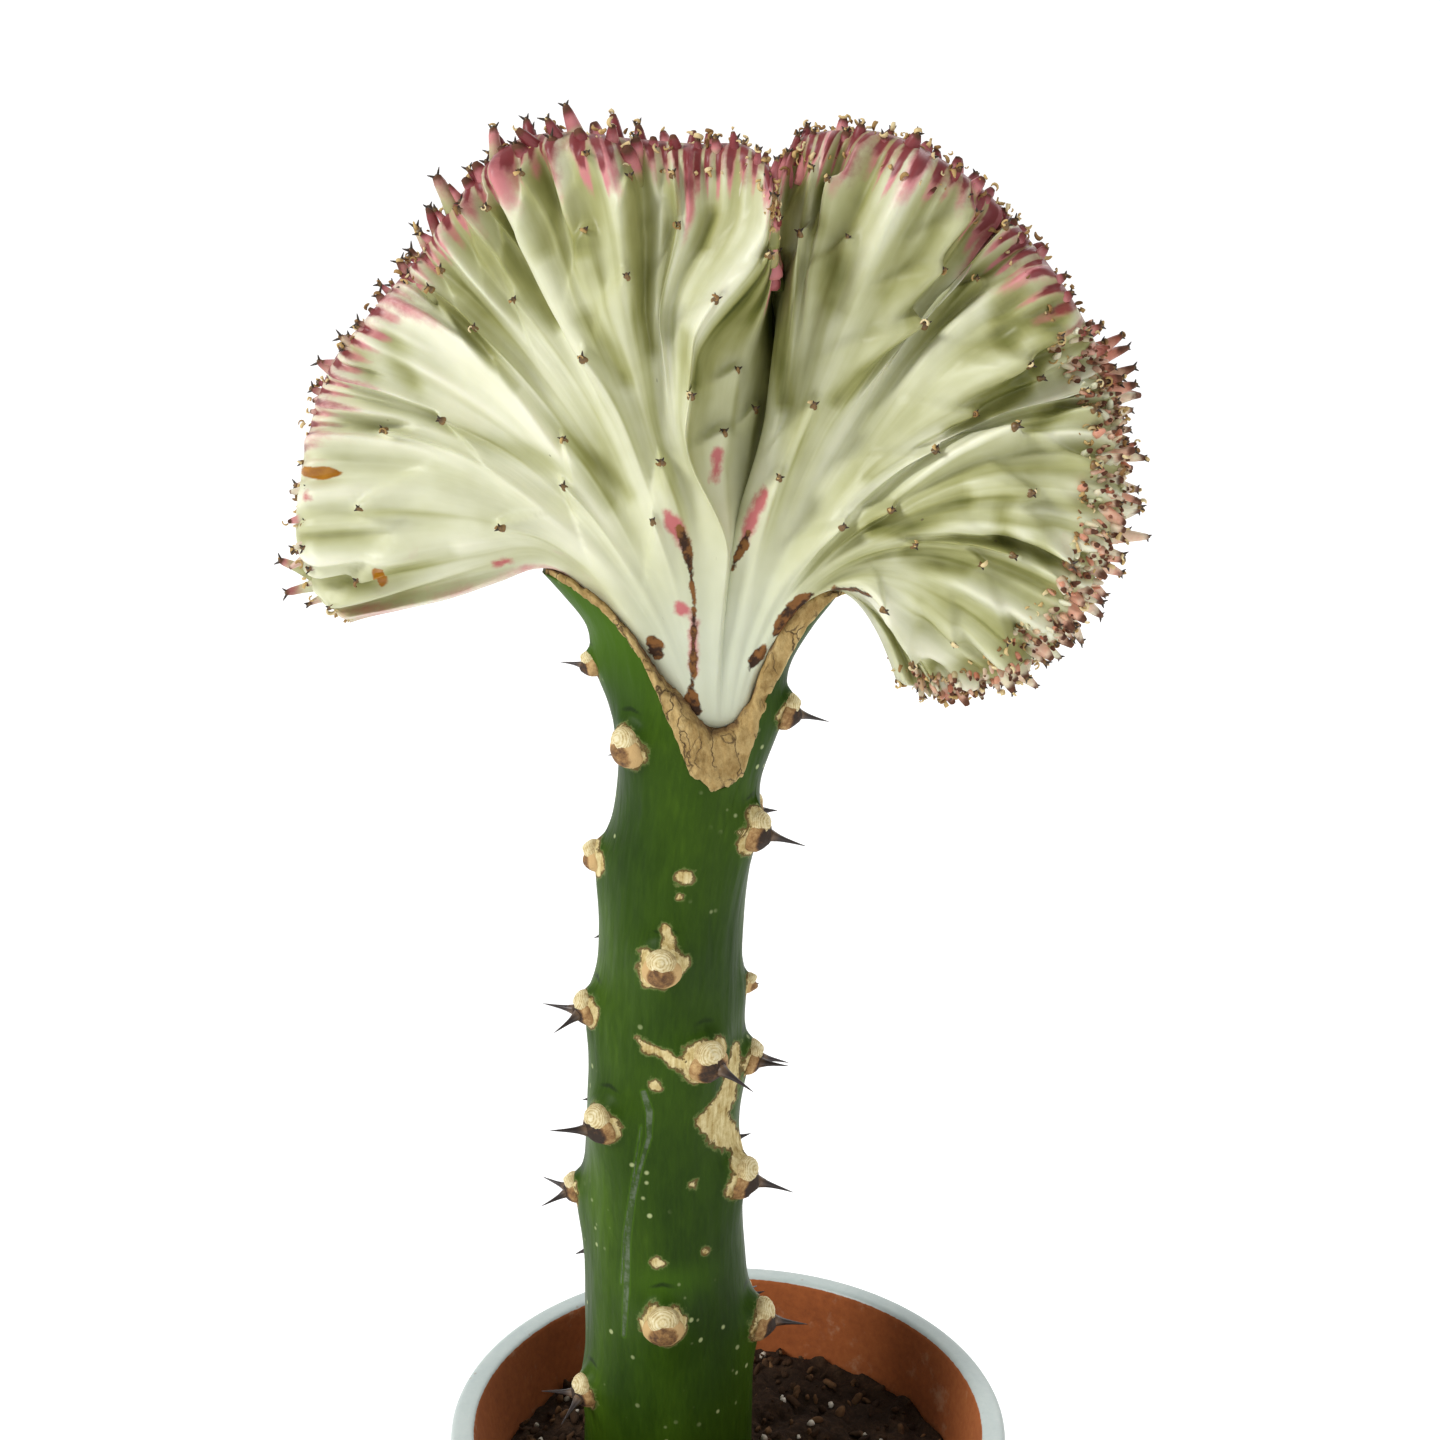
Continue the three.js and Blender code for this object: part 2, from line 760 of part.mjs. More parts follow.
// Fingers that grow from one face just inside the edge and stand out beyond it
function fanFingers() {
  const draw = seeded(21);
  const made = [];
  for (const [from, to, count, length, face] of fingerRows) {
    for (let k = 0; k < count; k++) {
      const u = mix(from, to, (k + 0.15 + 0.7 * draw()) / count);
      const v = 0.955 + 0.03 * draw();
      const normal = fanNormal(u, v);
      const root = fanMiddle(u, v).addScaledVector(normal, face * (fan.edgeThick + 0.2));
      const aim = fanOutward(u, v).addScaledVector(normal, face * (0.1 + 0.7 * draw()));
      aim.z += 0.25 * draw();
      const long = length * (0.7 + 0.6 * draw());
      made.push(spike(root, aim, long, fan.fingerRadius, 4, fan.fingerSunk, 3 * draw()));
    }
  }
  return made;
}

// Teeth down the front lobe's edge, where it curls over the deep fold
function foldTeeth() {
  const { at, from, to, count, length, radius, sunk } = fan.foldTeeth;
  const draw = seeded(3);
  const made = [];
  for (let k = 0; k < count; k++) {
    const v = mix(from, to, k / (count - 1));
    const root = fanSurface(at + 0.006 * (draw() - 0.5), v, 1);
    root.y += 1.2;
    const aim = new THREE.Vector3(0.9, -0.25 + 0.3 * draw(), 0.25 + 0.5 * draw());
    made.push(spike(root, aim, length * (0.7 + 0.6 * draw()), radius, 4, sunk, 3 * draw()));
  }
  return made;
}

// The rib at whose foot the front shows a point at this x and height
function nearestOnFan(x, z) {
  let best = { gap: Infinity };
  for (let i = 2; i <= 2 * fan.ribs - 2; i++) {
    for (let v = 0.25; v <= 0.96; v += 0.01) {
      const u = i / (2 * fan.ribs);
      const p = fanMiddle(u, v);
      const gap = Math.hypot(p.x - x, p.z - z) + 0.3 * Math.max(p.y, 0);
      if (gap < best.gap) best = { gap, u, v };
    }
  }
  return best;
}

function bumpAt(u, v, face, size) {
  const { length, radius, sunk } = fan.bumps;
  const normal = fanNormal(u, v).multiplyScalar(face);
  const root = fanSurface(u, v, face).addScaledVector(fanOutward(u, v), -0.8);
  const aim = normal.addScaledVector(fanOutward(u, v), 1.1);
  return spike(root, aim, length * size, radius * size, 4, sunk);
}

function fanBumps() {
  const draw = seeded(5);
  const made = [];
  for (const [x, z, size] of frontBumps) {
    const { u, v } = nearestOnFan(x, z);
    made.push(bumpAt(u, v, 1, size));
  }
  for (let k = 0; k < fan.bumps.count; k++) {
    const u = Math.round(((k + 0.2 + 0.6 * draw()) / fan.bumps.count) * fan.ribs) / fan.ribs;
    const v = 0.34 + 0.56 * draw();
    if (u > 0.03 && u < 0.97) made.push(bumpAt(u, v, -1, 0.8 + 0.5 * draw()));
  }
  return made;
}

const fanSheet = solidOf(makeFanSheet());

function makeFan() {
  const pieces = [fanSheet, ...fanFingers(), ...foldTeeth(), ...fanBumps()];
  return geometryOf(mainBody(wasm.Manifold.union(pieces)));
}

// Callus: the corky scar that fills the fork between the stem's cut and the fan's root

// The fan's lower outline round its root, from the left arm over the tip to the right
// arm, moved away from the fan by a gap
function fanFoot(gap) {
  const inner = fanRows.map(([v]) => v).filter((v) => v > 0 && v < 0.7);
  const line = [...inner].reverse().map((v) => fanMiddle(0, v));
  for (let c = 0; c <= 2 * fan.ribs; c += fanRows[0][1]) line.push(fanMiddle(c / (2 * fan.ribs), 0));
  line.push(...inner.map((v) => fanMiddle(1, v)));
  return line.map((p, i) => {
    const before = line[Math.max(i - 1, 0)];
    const after = line[Math.min(i + 1, line.length - 1)];
    const run = new THREE.Vector2(after.x - before.x, after.z - before.z).normalize();
    return [p.x + gap * run.y, p.z - gap * run.x];
  });
}

function heightOnLine(line, x) {
  let i = 0;
  while (i < line.length - 2 && x > line[i + 1][0]) i++;
  const [a, b] = [line[i], line[i + 1]];
  return mix(a[1], b[1], (x - a[0]) / (b[0] - a[0]));
}

function makeCallus() {
  const foot = fanFoot(clearance);
  const [left, right] = callusEnds;
  const inside = [...foot, ...forkLine].map(([x]) => x).filter((x) => x > left && x < right);
  const stations = [left, right, ...inside].sort((a, b) => a - b);
  const points = [];
  const triangles = [];
  for (const x of stations) {
    const low = heightOnLine(forkLine, x) + cutGap;
    const high = Math.max(heightOnLine(foot, x), low + 0.3);
    const [centre, halfWidth, halfDepth] = stemAt(Math.min(low, 256));
    const share = THREE.MathUtils.clamp((x - centre) / halfWidth, -0.95, 0.95);
    const depth = halfDepth * Math.sqrt(1 - share * share);
    points.push([x, -depth, low], [x, -0.9 * depth, high], [x, 0.9 * depth, high], [x, depth, low]);
  }
  for (let i = 0; i + 1 < stations.length; i++) {
    for (let k = 0; k < 4; k++) {
      const [a, b] = [4 * i + k, 4 * i + ((k + 1) % 4)];
      triangles.push([a, b + 4, b], [a, a + 4, b + 4]);
    }
  }
  const end = 4 * (stations.length - 1);
  triangles.push([0, 1, 2], [0, 2, 3], [end, end + 2, end + 1], [end, end + 3, end + 2]);
  return geometryOf(solidOf(meshOf(points, triangles)));
}

const plant = new THREE.Group();
plant.add(named("pot", makePot(), 0xa55f35, 0.6));
plant.add(named("soil", makeSoil(), 0x4a3526, 1.0));
plant.add(named("rootstock", makeRootstock(), 0x3a5a1a, 0.55));
plant.add(named("graft_callus", makeCallus(), 0x96804c, 0.9));
plant.add(named("crested_fan", makeFan(), 0xc8caa0, 0.55));

export default plant;
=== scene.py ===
# Potted coral cactus: the looks of a crested fan, grafted on a thorny green stem in a clay pot.
# Sizes are in millimetres and turned into metres when a mesh is made. +Z is up, and the
# fan's broad face looks along -Y.

import math

import bpy
import numpy as np
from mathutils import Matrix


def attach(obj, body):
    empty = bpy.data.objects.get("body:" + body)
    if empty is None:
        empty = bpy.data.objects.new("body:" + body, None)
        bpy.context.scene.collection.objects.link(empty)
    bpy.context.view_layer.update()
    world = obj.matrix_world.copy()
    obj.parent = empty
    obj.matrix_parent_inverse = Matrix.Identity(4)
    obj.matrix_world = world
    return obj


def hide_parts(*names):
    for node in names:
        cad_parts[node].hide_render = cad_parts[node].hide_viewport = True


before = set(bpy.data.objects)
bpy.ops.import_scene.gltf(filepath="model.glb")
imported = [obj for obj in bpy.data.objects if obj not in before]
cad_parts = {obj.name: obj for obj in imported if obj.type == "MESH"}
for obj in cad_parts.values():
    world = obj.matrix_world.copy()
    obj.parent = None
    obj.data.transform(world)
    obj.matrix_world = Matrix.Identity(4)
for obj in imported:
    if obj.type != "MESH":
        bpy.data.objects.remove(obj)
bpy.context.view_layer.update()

MM = 0.001

# Driving dimensions, the same as the solids'

POT = {"height": 92, "lip": 52.5, "lip_width": 4.5, "band": 17, "step": 3.4, "foot": 37}
POT |= {"floor": 5, "wall": 3.6, "edge": 1.0, "drain": 4, "drain_ring": 21, "drains": 4}
SOIL = {"top": 77, "lump": 0.66, "mound": 1.2, "mound_reach": 22, "crumbs": 900}
SOIL |= {"sides": 300, "rings": 130, "wall": [70, 45, 20], "shaft": [62, 73], "white": 0.12}
ROOTSTOCK = ("rootstock", "green_stem")  # node and slot
STEM = {"foot": 45, "plain_top": 80, "radius": 16, "x": -11.5, "buried": [45, 58, 70]}

# Height, centre in x, half width and half depth of the stem
STEM_STATIONS = [
    [45, -11.5, 16, 16], [80, -11.5, 16, 16], [100, -11.2, 15.7, 15.5], [124, -11.6, 14.9, 14.7],
    [142, -12.1, 14.1, 14.0], [162, -11.8, 13.4, 13.4], [186, -10.4, 12.7, 12.9],
    [206, -8.9, 12.4, 12.6], [218, -7.1, 12.1, 12.5], [226, -6.1, 12.7, 12.6],
    [234, -5.8, 14.2, 12.6], [241, -5.6, 16.4, 12.4], [247, -4.8, 19.2, 11.8],
    [252, -4.8, 23.0, 11.0], [258, -5.6, 27.5, 9.8],
]

# The forked cut, as x and height, from the left arm's tip to the right arm's tip
NOTCH = [
    [-33, 256.2], [-29.5, 256.0], [-24, 253.6], [-19.2, 249.8], [-15.2, 244.8], [-12, 239.2],
    [-9.6, 233.5], [-6.5, 225.8], [-3.8, 222.4], [-0.8, 221.5], [2.3, 224.0], [4.3, 230.4],
    [6.7, 236.8], [9.2, 242.0], [11.6, 246.2], [14.8, 250.4], [17.7, 252.4], [23, 253.6],
]

# Thorn knobs of the front: turn from the front in degrees, height, size, spines left (-1 the
# left one, 1 the right one, 2 both), and how wide the dry scab round it is
FRONT_KNOBS = [
    [-82, 241, 0.7, -1, 0.2], [-46, 229, 1.1, 0, 0.6], [80, 233, 1.0, 1, 0.1], [62, 213, 1.1, 1, 2.0],
    [-88, 206, 0.9, 0, 2.2], [-5, 191, 1.1, 0, 1.6], [-73, 179, 1.0, 2, 1.0], [95, 181, 0.6, 0, 0.8],
    [30, 173, 1.2, 1, 1.4], [86, 168, 1.0, 2, 0.4], [-43, 160, 1.15, -1, 0.3], [65, 147, 1.2, 1, 0.9],
    [-90, 141, 0.9, 2, 0.1], [0, 123, 1.2, 0, 0.9], [78, 116, 1.25, 1, 0.2], [-60, 104, 1.0, 2, 0.3],
]
BACK_KNOBS = {"count": 13, "low": 98, "rise": 11, "turns": [180, 128, 226], "wander": 14}
KNOB = {"radius": 3.0, "sunk": 1.05, "swell": 1.9, "around": 5.6, "above": 4.2, "below": 9.5}
KNOB |= {"spine": 5.2, "spine_radius": 0.75, "spread": 0.55}

# The fan's growing edge, as x, depth and height, from its lower left to its lower right
MARGIN = [
    [-64.5, 2, 247], [-70, 1, 253], [-71.5, -2, 262], [-70.5, -2, 272], [-68.5, 0, 282],
    [-65, 3, 290.5], [-58, 2, 299], [-50.5, 3, 307.5], [-44.5, 4.5, 315.5], [-39.5, 2, 321],
    [-34, -3, 325.5], [-26, -5, 327], [-15, -3, 326], [-5, -4.5, 325.2], [2.5, -8, 325],
    [6.3, -9.6, 321.5], [7.2, -8.2, 314], [7.6, -2.5, 308.5], [8.4, 4, 309.5],
    [7.6, 6.4, 315], [7.8, 6.6, 321], [11.2, 5.2, 325.8], [17.5, 2.2, 327.2], [26, -2.6, 326.4],
    [35.5, -2, 321.5],
    [43.5, 1, 315.5], [50, -1, 308], [55.5, -3, 300], [60.5, -3, 291], [63, -5, 281],
    [63.5, -7, 271.5], [62, -9, 262], [58, -9, 252.5], [52, -6, 244.5], [43.5, -3, 237.5],
    [35, 0, 235], [28.5, 2, 237],
]
FAN = ("crested_fan", "fan_skin")  # its node and its material slot
FOCUS = (-1.5, 233.5)  # where the ribs draw together
RIBS = 84
SHEET_LENGTH = 95  # from the root to the growing edge
FOLD = 0.475  # the deep fold between the two lobes
ROOT_THICK = 9.0
MID_THICK = 4.6
EDGE_THICK = 2.3

# Ribs by their share of the teeth: height, where they start and are full, where they fade
# and are gone, and how much of them is left there
RIB_LEVELS = [
    (1 / 8, 1.8, 0.32, 0.56, 0.66, 0.88, 0.4), (1 / 4, 1.7, 0.5, 0.74, 0.84, 0.97, 0.45),
    (1 / 2, 2.0, 0.66, 0.86, 0.95, 1.0, 0.6), (1, 1.6, 0.84, 0.95, 1.2, 1.4, 1),
]

# Pointed knobs of the front face: x, height and size
FRONT_BUMPS = [
    [-45.3, 320.5, 1.0], [-44.5, 305.2, 1.0], [-35.0, 315.5, 1.2], [-29.1, 321.1, 1.0],
    [-21.5, 324.5, 0.9], [-16.4, 319.5, 1.0], [-16.8, 305.2, 1.1], [-8.8, 320.0, 1.0],
    [-20.6, 292.7, 1.4], [-3.1, 301.3, 1.2], [-6.0, 286.4, 1.2], [-10.5, 275.6, 1.2],
    [1.4, 289.4, 0.9], [4.3, 282.5, 1.0], [-1.2, 279.3, 1.1], [-44.7, 281.7, 1.3],
    [-54.8, 278.7, 1.1], [-26.0, 278.3, 1.0], [-26.1, 271.2, 1.0], [-35.5, 265.6, 1.2],
    [-58.7, 267.6, 1.1], [-47.0, 301.3, 1.1], [6.4, 316.8, 1.0], [5.7, 308.0, 1.2],
    [13.9, 319.9, 1.0], [19.8, 317.1, 1.1], [14.0, 310.3, 1.1], [35.3, 315.5, 1.0],
    [43.5, 310.0, 1.4], [25.6, 298.9, 1.6], [45.3, 293.0, 1.2], [47.7, 291.5, 1.0],
    [50.8, 296.5, 1.1], [54.1, 289.1, 1.1], [13.2, 284.5, 1.1], [31.5, 278.3, 1.1],
    [45.3, 276.6, 1.5], [56.9, 280.4, 1.4], [47.3, 271.0, 1.4], [56.6, 274.0, 1.5],
    [17.6, 265.7, 1.1], [25.2, 268.4, 1.1], [29.2, 263.1, 0.9], [45.4, 262.1, 1.1],
    [53.5, 264.4, 1.8], [25.0, 254.9, 1.1], [33.4, 246.2, 1.1], [39.1, 249.3, 0.9],
    [46.2, 249.3, 1.0], [53.8, 256.1, 1.2], [34.8, 241.3, 1.0], [47.9, 244.4, 1.0],
    [7.6, 272.8, 1.0], [-12.1, 266.2, 0.9], [-39.9, 295.2, 0.8], [-31.5, 301.5, 0.8],
    [-60.4, 259.6, 0.9], [-65.6, 254.6, 0.9], [-7.8, 312.3, 0.8], [-20.3, 312.3, 0.8],
    [20.5, 309.2, 0.8], [29.1, 307.7, 0.9], [40.4, 301.5, 0.9], [36.9, 285.7, 0.9],
    [40.3, 259.6, 0.9], [57.6, 288.9, 1.1], [59.6, 266.2, 1.1],
]

# How long the teeth are along the growing edge, as share of its length and factor
TOOTH_LENGTHS = [
    [0, 0.5], [0.05, 1.1], [0.1, 0.5], [0.2, 0.8], [0.25, 1.0], [0.3, 1.5], [0.34, 1.5], [0.38, 1.0],
    [0.43, 0.9], [0.455, 0.6], [0.47, 0.1], [0.51, 0.1], [0.53, 0.7], [0.72, 0.8], [0.8, 1.2],
    [0.95, 1.3], [1, 0.6],
]

# Blunt fingers that stand out beyond the edge: from and to along it, count, length, face
FINGER_ROWS = [
    [0.2, 0.28, 6, 3.6, 1], [0.745, 0.985, 52, 7.6, -1], [0.75, 0.97, 36, 5.0, 1],
    [0.02, 0.09, 6, 3.8, -1],
]

# Long curved horns of the left edge: tip and root as x and height, then the radius
HORNS = [
    [-46.7, 320.1, -43.6, 313.9, 1.2], [-48.3, 315.3, -45.1, 306.7, 1.0],
    [-50.6, 312.2, -47.7, 306.4, 0.8], [-51.5, 308.6, -47.6, 301.9, 0.8],
    [-53.5, 306.7, -49.3, 299.7, 1.0], [-56.8, 301.6, -53.3, 297.1, 1.0],
    [-53.9, 302.5, -51.2, 300.0, 0.7], [-60.1, 297.3, -56.0, 294.5, 0.8],
    [-63.0, 295.0, -59.3, 292.3, 0.8], [-67.2, 290.8, -64.0, 288.3, 0.8],
    [-37.3, 327.5, -36.5, 321.5, 1.0], [-74.6, 258.5, -70.7, 257.2, 0.8],
    [-74.3, 252.5, -69.4, 253.9, 0.8], [-68.5, 286.3, -65.3, 285.0, 0.7],
]

CORAL_CRUMBS = 360

# Crowds of dry leaf rests: from and to along the edge, count, and how far down the face
DRY_CROWDS = [
    (0.0, 0.33, 150, 0.97), (0.33, 0.45, 150, 0.96), (0.43, 0.462, 50, 0.94), (0.5, 0.73, 280, 0.96),
    (0.73, 1.0, 280, 0.94),
]

# Green furrows of the fan's front: how strong, then a line of x, height and half width
FURROWS = [
    (0.5, [[-33.8, 315.9, 0.8], [-32.5, 311.3, 1.5], [-31.7, 307.1, 1.5], [-29.4, 302.7, 1.0],
           [-26.3, 298.3, 0.7]]),
    (0.5, [[-46.2, 300.2, 0.7], [-43.9, 297.2, 1.4], [-41.6, 294.1, 1.4], [-38.9, 289.8, 1.0],
           [-35.4, 286.5, 0.7]]),
    (0.4, [[-27.0, 323.5, 1.0], [-27.1, 318.2, 1.4], [-27.4, 314.4, 1.2], [-26.5, 310.5, 0.7]]),
    (0.4, [[-21.5, 323.5, 1.0], [-21.6, 318.2, 1.4], [-21.4, 314.4, 1.2], [-20.8, 310.5, 0.7]]),
    (0.35, [[-15.3, 323.5, 1.0], [-15.3, 318.2, 1.4], [-15.7, 312.8, 1.2], [-14.9, 305.9, 1.0],
            [-14.3, 299.6, 0.8], [-12.7, 294.1, 0.7]]),
    (0.35, [[-33.7, 325.0, 1.0], [-33.8, 319.7, 1.0]]),
    (0.25, [[-9.0, 318.2, 0.7], [-9.7, 312.1, 0.8], [-10.4, 304.3, 0.8], [-9.2, 296.4, 0.7]]),
    (0.3, [[-21.0, 299.3, 0.8], [-18.8, 294.1, 1.0], [-16.3, 289.3, 0.7]]),
    (0.3, [[-55.3, 294.9, 1.0], [-53.0, 291.4, 1.2], [-50.7, 287.7, 0.7]]),
    (0.3, [[-48.7, 302.4, 0.8], [-47.2, 299.0, 0.8]]),
    (0.25, [[-61.0, 293.3, 0.8], [-57.6, 289.4, 0.7]]),
    (0.25, [[-50.0, 285.9, 0.7], [-46.9, 282.8, 0.8], [-40.5, 278.8, 1.0], [-32.5, 276.3, 1.2],
            [-25.2, 273.8, 1.2], [-19.5, 268.9, 0.8]]),
    (0.22, [[-34.7, 285.3, 0.7], [-29.1, 281.2, 0.8], [-22.7, 276.1, 0.8], [-16.3, 270.2, 0.7]]),
    (0.28, [[-69.9, 263.9, 1.0], [-62.5, 263.4, 1.4], [-54.3, 262.2, 1.4], [-46.0, 262.5, 0.8]]),
    (0.22, [[-62.4, 281.2, 0.8], [-57.1, 279.9, 0.7]]),
    (0.22, [[-66.5, 256.5, 1.0], [-59.5, 257.8, 0.7]]),
    (0.3, [[-6.3, 296.4, 0.5], [-6.6, 293.3, 0.7], [-6.0, 288.8, 0.5]]),
    (0.3, [[-2.1, 314.4, 0.7], [-3.4, 309.8, 0.7]]),
    (0.5, [[11.0, 322.0, 1.2], [11.6, 315.1, 1.9], [10.7, 307.4, 2.0], [9.7, 299.6, 1.9],
           [9.1, 293.3, 1.5], [8.7, 285.3, 0.8]]),
    (0.3, [[16.1, 318.2, 1.0], [16.8, 311.8, 1.0]]),
    (0.2, [[18.8, 306.6, 0.8], [18.1, 300.4, 0.8]]),
    (0.38, [[26.5, 296.8, 0.7], [23.9, 293.6, 1.2], [20.3, 289.8, 1.2], [17.1, 286.1, 0.7]]),
    (0.2, [[36.7, 312.8, 0.7], [35.0, 309.0, 0.7]]),
    (0.55, [[45.6, 289.8, 1.2], [42.1, 287.0, 1.4], [38.2, 284.6, 1.0], [34.5, 282.8, 0.5]]),
    (0.35, [[52.8, 299.9, 1.0], [50.6, 296.4, 1.0], [48.6, 293.9, 0.7]]),
    (0.3, [[46.7, 301.8, 1.2], [44.9, 298.3, 1.2], [44.1, 295.2, 0.7]]),
    (0.22, [[39.5, 306.2, 0.8], [36.7, 303.1, 0.7]]),
    (0.3, [[54.5, 285.3, 1.0], [52.1, 281.2, 1.0], [49.0, 277.9, 0.7]]),
    (0.38, [[38.2, 270.2, 0.7], [33.0, 268.1, 1.0], [28.1, 266.1, 1.0], [23.5, 265.6, 0.7]]),
    (0.25, [[44.4, 269.2, 0.8], [45.6, 264.2, 0.8]]),
    (0.25, [[50.5, 265.2, 1.2], [52.3, 261.2, 1.2]]),
    (0.25, [[38.5, 258.8, 0.7], [33.2, 259.8, 0.8], [29.1, 260.9, 0.5]]),
    (0.3, [[32.6, 247.9, 0.8], [29.5, 251.0, 0.7]]),
    (0.35, [[36.7, 243.1, 0.8], [45.5, 242.4, 1.2], [52.5, 243.4, 1.0]]),
    (0.25, [[56.3, 294.9, 0.8], [53.6, 290.9, 0.8]]),
    (0.25, [[31.0, 278.8, 0.5], [27.0, 276.3, 0.7], [22.7, 273.8, 0.5]]),
]

# Scars on the fan's front, each a line of x, height and half width
RED_SCARS = [
    [[-9.9, 267.6, 0.7], [-9.0, 266.2, 1.1], [-7.9, 264.3, 0.8], [-7.2, 262.0, 0.5]],
    [[5.8, 271.4, 0.4], [4.7, 269.0, 0.8], [3.4, 265.8, 0.7], [2.2, 262.6, 0.4]],
    [[-1.8, 277.6, 0.6], [-2.2, 273.2, 0.5]],
    [[-8.3, 251.9, 0.9], [-7.7, 251.4, 0.9]],
    [[-5.8, 249.5, 0.5], [-5.9, 244.5, 0.5], [-5.8, 241, 0.4]],
    [[-68.6, 270.1, 0.5], [-68.2, 270.1, 0.5]],
    [[-38.5, 258.2, 0.5], [-36.5, 258.6, 0.4]],
]
BROWN_SCARS = [
    [[-8.0, 265.3, 0.5], [-7.4, 263.6, 0.9], [-6.8, 261.0, 0.8], [-6.2, 257.4, 0.35], [-5.9, 254.6, 0.2],
     [-5.8, 252.0, 0.1], [-5.8, 249.6, 0.5], [-5.8, 246.6, 0.55], [-6.0, 244.6, 0.1],
     [-5.8, 242.8, 0.9], [-6.1, 240.4, 0.2], [-6.3, 237.6, 0.6], [-6.2, 234.8, 1.8]],
    [[3.2, 264.6, 0.3], [2.2, 262.2, 0.8], [1.2, 260.0, 0.5], [0.5, 257.8, 0.2]],
    [[-12.5, 245.9, 1.3], [-12.0, 244.2, 1.3]],
    [[13.6, 253.8, 0.4], [11.9, 252.7, 1.1], [10.2, 250.6, 1.5], [8.4, 248.0, 1.1], [7.4, 246.4, 0.3]],
    [[5.6, 244.3, 0.8], [4.4, 242.8, 1.2], [3.4, 240.8, 0.5]],
    [[17.8, 254.4, 1.0], [20.8, 254.8, 0.9], [22.8, 254.2, 0.5]],
]
RESIN = [
    [[-69.0, 273.6, 0.9], [-65.8, 273.6, 1.0], [-63.5, 273.5, 0.5]],
    [[-57.6, 257.6, 0.9], [-57.5, 255.4, 0.9]],
]

# The fold seen from the front: along the edge, how far the sheet is moved to the side and
# to the back there, for the lip that stands before a hollow
FOLD_SHIFT = [
    [0.28, 0, 0], [0.34, -2.2, 0], [0.38, -4.8, -0.4], [0.41, -7.4, -1.6], [0.43, -8.8, -3.2],
    [0.444, -8.8, -1.6], [0.456, -6.2, 3.5], [0.47, -2.4, 6.0], [0.49, 1.4, 6.6], [0.51, 3.4, 5.6],
    [0.535, 3.4, 3.8], [0.565, 1.6, 1.4], [0.61, 0, 0],
]

# How far the lower left edge hangs below its plain curve, from the root outwards
EDGE_SAG = [
    [0, 0], [0.12, 2.0], [0.45, 2.2], [0.58, 1.2], [0.64, 2.0], [0.72, 4.4], [0.82, 5.6],
    [0.91, 4.0], [1, 0.6],
]

# Greener parts of the fan, paler where below 0: how much, then from where to where the part
# grows on the way out and along the edge
GREEN_PARTS = [
    (0.1, [(0.5, 0.3)], []), (-0.08, [(0.45, 0.6)], [(0.33, 0.2)]),
    (0.16, [(0.68, 0.85)], [(0.88, 0.93)]), (0.08, [(0.7, 0.85)], [(0.16, 0.25), (0.75, 0.7)]),
    (0.08, [(0.35, 0.5)], [(0.2, 0.35), (0.47, 0.4)]), (0.06, [(0.3, 0.5)], [(0.86, 0.9)]),
    (0.09, [(0.3, 0.45), (0.75, 0.55)], [(0.68, 0.76)]), (-0.07, [(0.6, 0.75)], [(0.68, 0.76)]),
]

FINGER_TURNS = 960  # how close the maroon fingers of the growing edge stand
GROWTH = (318, 100)  # units of the skin's own pattern along the edge and outwards
BACK_BUMPS = 40
FAR = 9.0  # stands for well outside a mark
FAN_ROOT = {"wide": 5.2, "deep": 1.6, "dip": 3.4}  # half of the sheet's root, and its sag
WAVE = {"height": 1.6, "count": 10.5, "start": 0.7}  # of the sheet, to the front and back

# Lights: name, place, size and power, and the point that they shine at
LIGHTS = [
    ("key", (-1.25, -0.6, 1.25), 0.6, 21), ("fill", (1.2, -1.3, 0.6), 1.4, 6.5),
    ("back", (0.6, 1.0, 1.2), 1.0, 4),
]
LIT_POINT = (0, 0, 0.24)
CAMERA = {"place": (-1.5, -340, 332), "pitch": 16.7, "lens": 51.8}


# Small helpers

def smooth(low, high, x):
    t = np.clip((np.asarray(x, float) - low) / (high - low), 0, 1)
    return t * t * (3 - 2 * t)


def mix(a, b, t):
    return a + (b - a) * t


def unit(vectors):
    return vectors / np.linalg.norm(vectors, axis=-1, keepdims=True)


def linear(red, green, blue):
    """A screen colour from 0 to 255 as the linear colour that a shader takes"""
    share = np.array([red, green, blue]) / 255
    low = share / 12.92
    high = ((share + 0.055) / 1.055) ** 2.4
    return (*np.where(share <= 0.04045, low, high), 1.0)


def paint(color):
    """A screen colour made linear, or a socket as it is"""
    return linear(*color) if isinstance(color, tuple) else color


def station_curve(stations):
    """A row of numbers read off a table of stations by a smooth curve through them"""
    table = np.array(stations, float)
    knots = table[:, 0]
    last = len(knots) - 1

    def at(x):
        x = np.asarray(x, float)
        i = np.searchsorted(knots[1:-1], x, side="left")
        a, b, c, d = (table[np.clip(i + k, 0, last)] for k in (-1, 0, 1, 2))
        span = (c - b)[..., :1]
        t = np.clip((x[..., None] - b[..., :1]) / span, 0, 1)
        slope_b = (c - a)[..., 1:] / (c - a)[..., :1]
        slope_c = (d - b)[..., 1:] / (d - b)[..., :1]
        t2, t3 = t * t, t * t * t
        rise = (2 * t3 - 3 * t2 + 1) * b[..., 1:] + (3 * t2 - 2 * t3) * c[..., 1:]
        return rise + (t3 - 2 * t2 + t) * span * slope_b + (t3 - t2) * span * slope_c

    return at


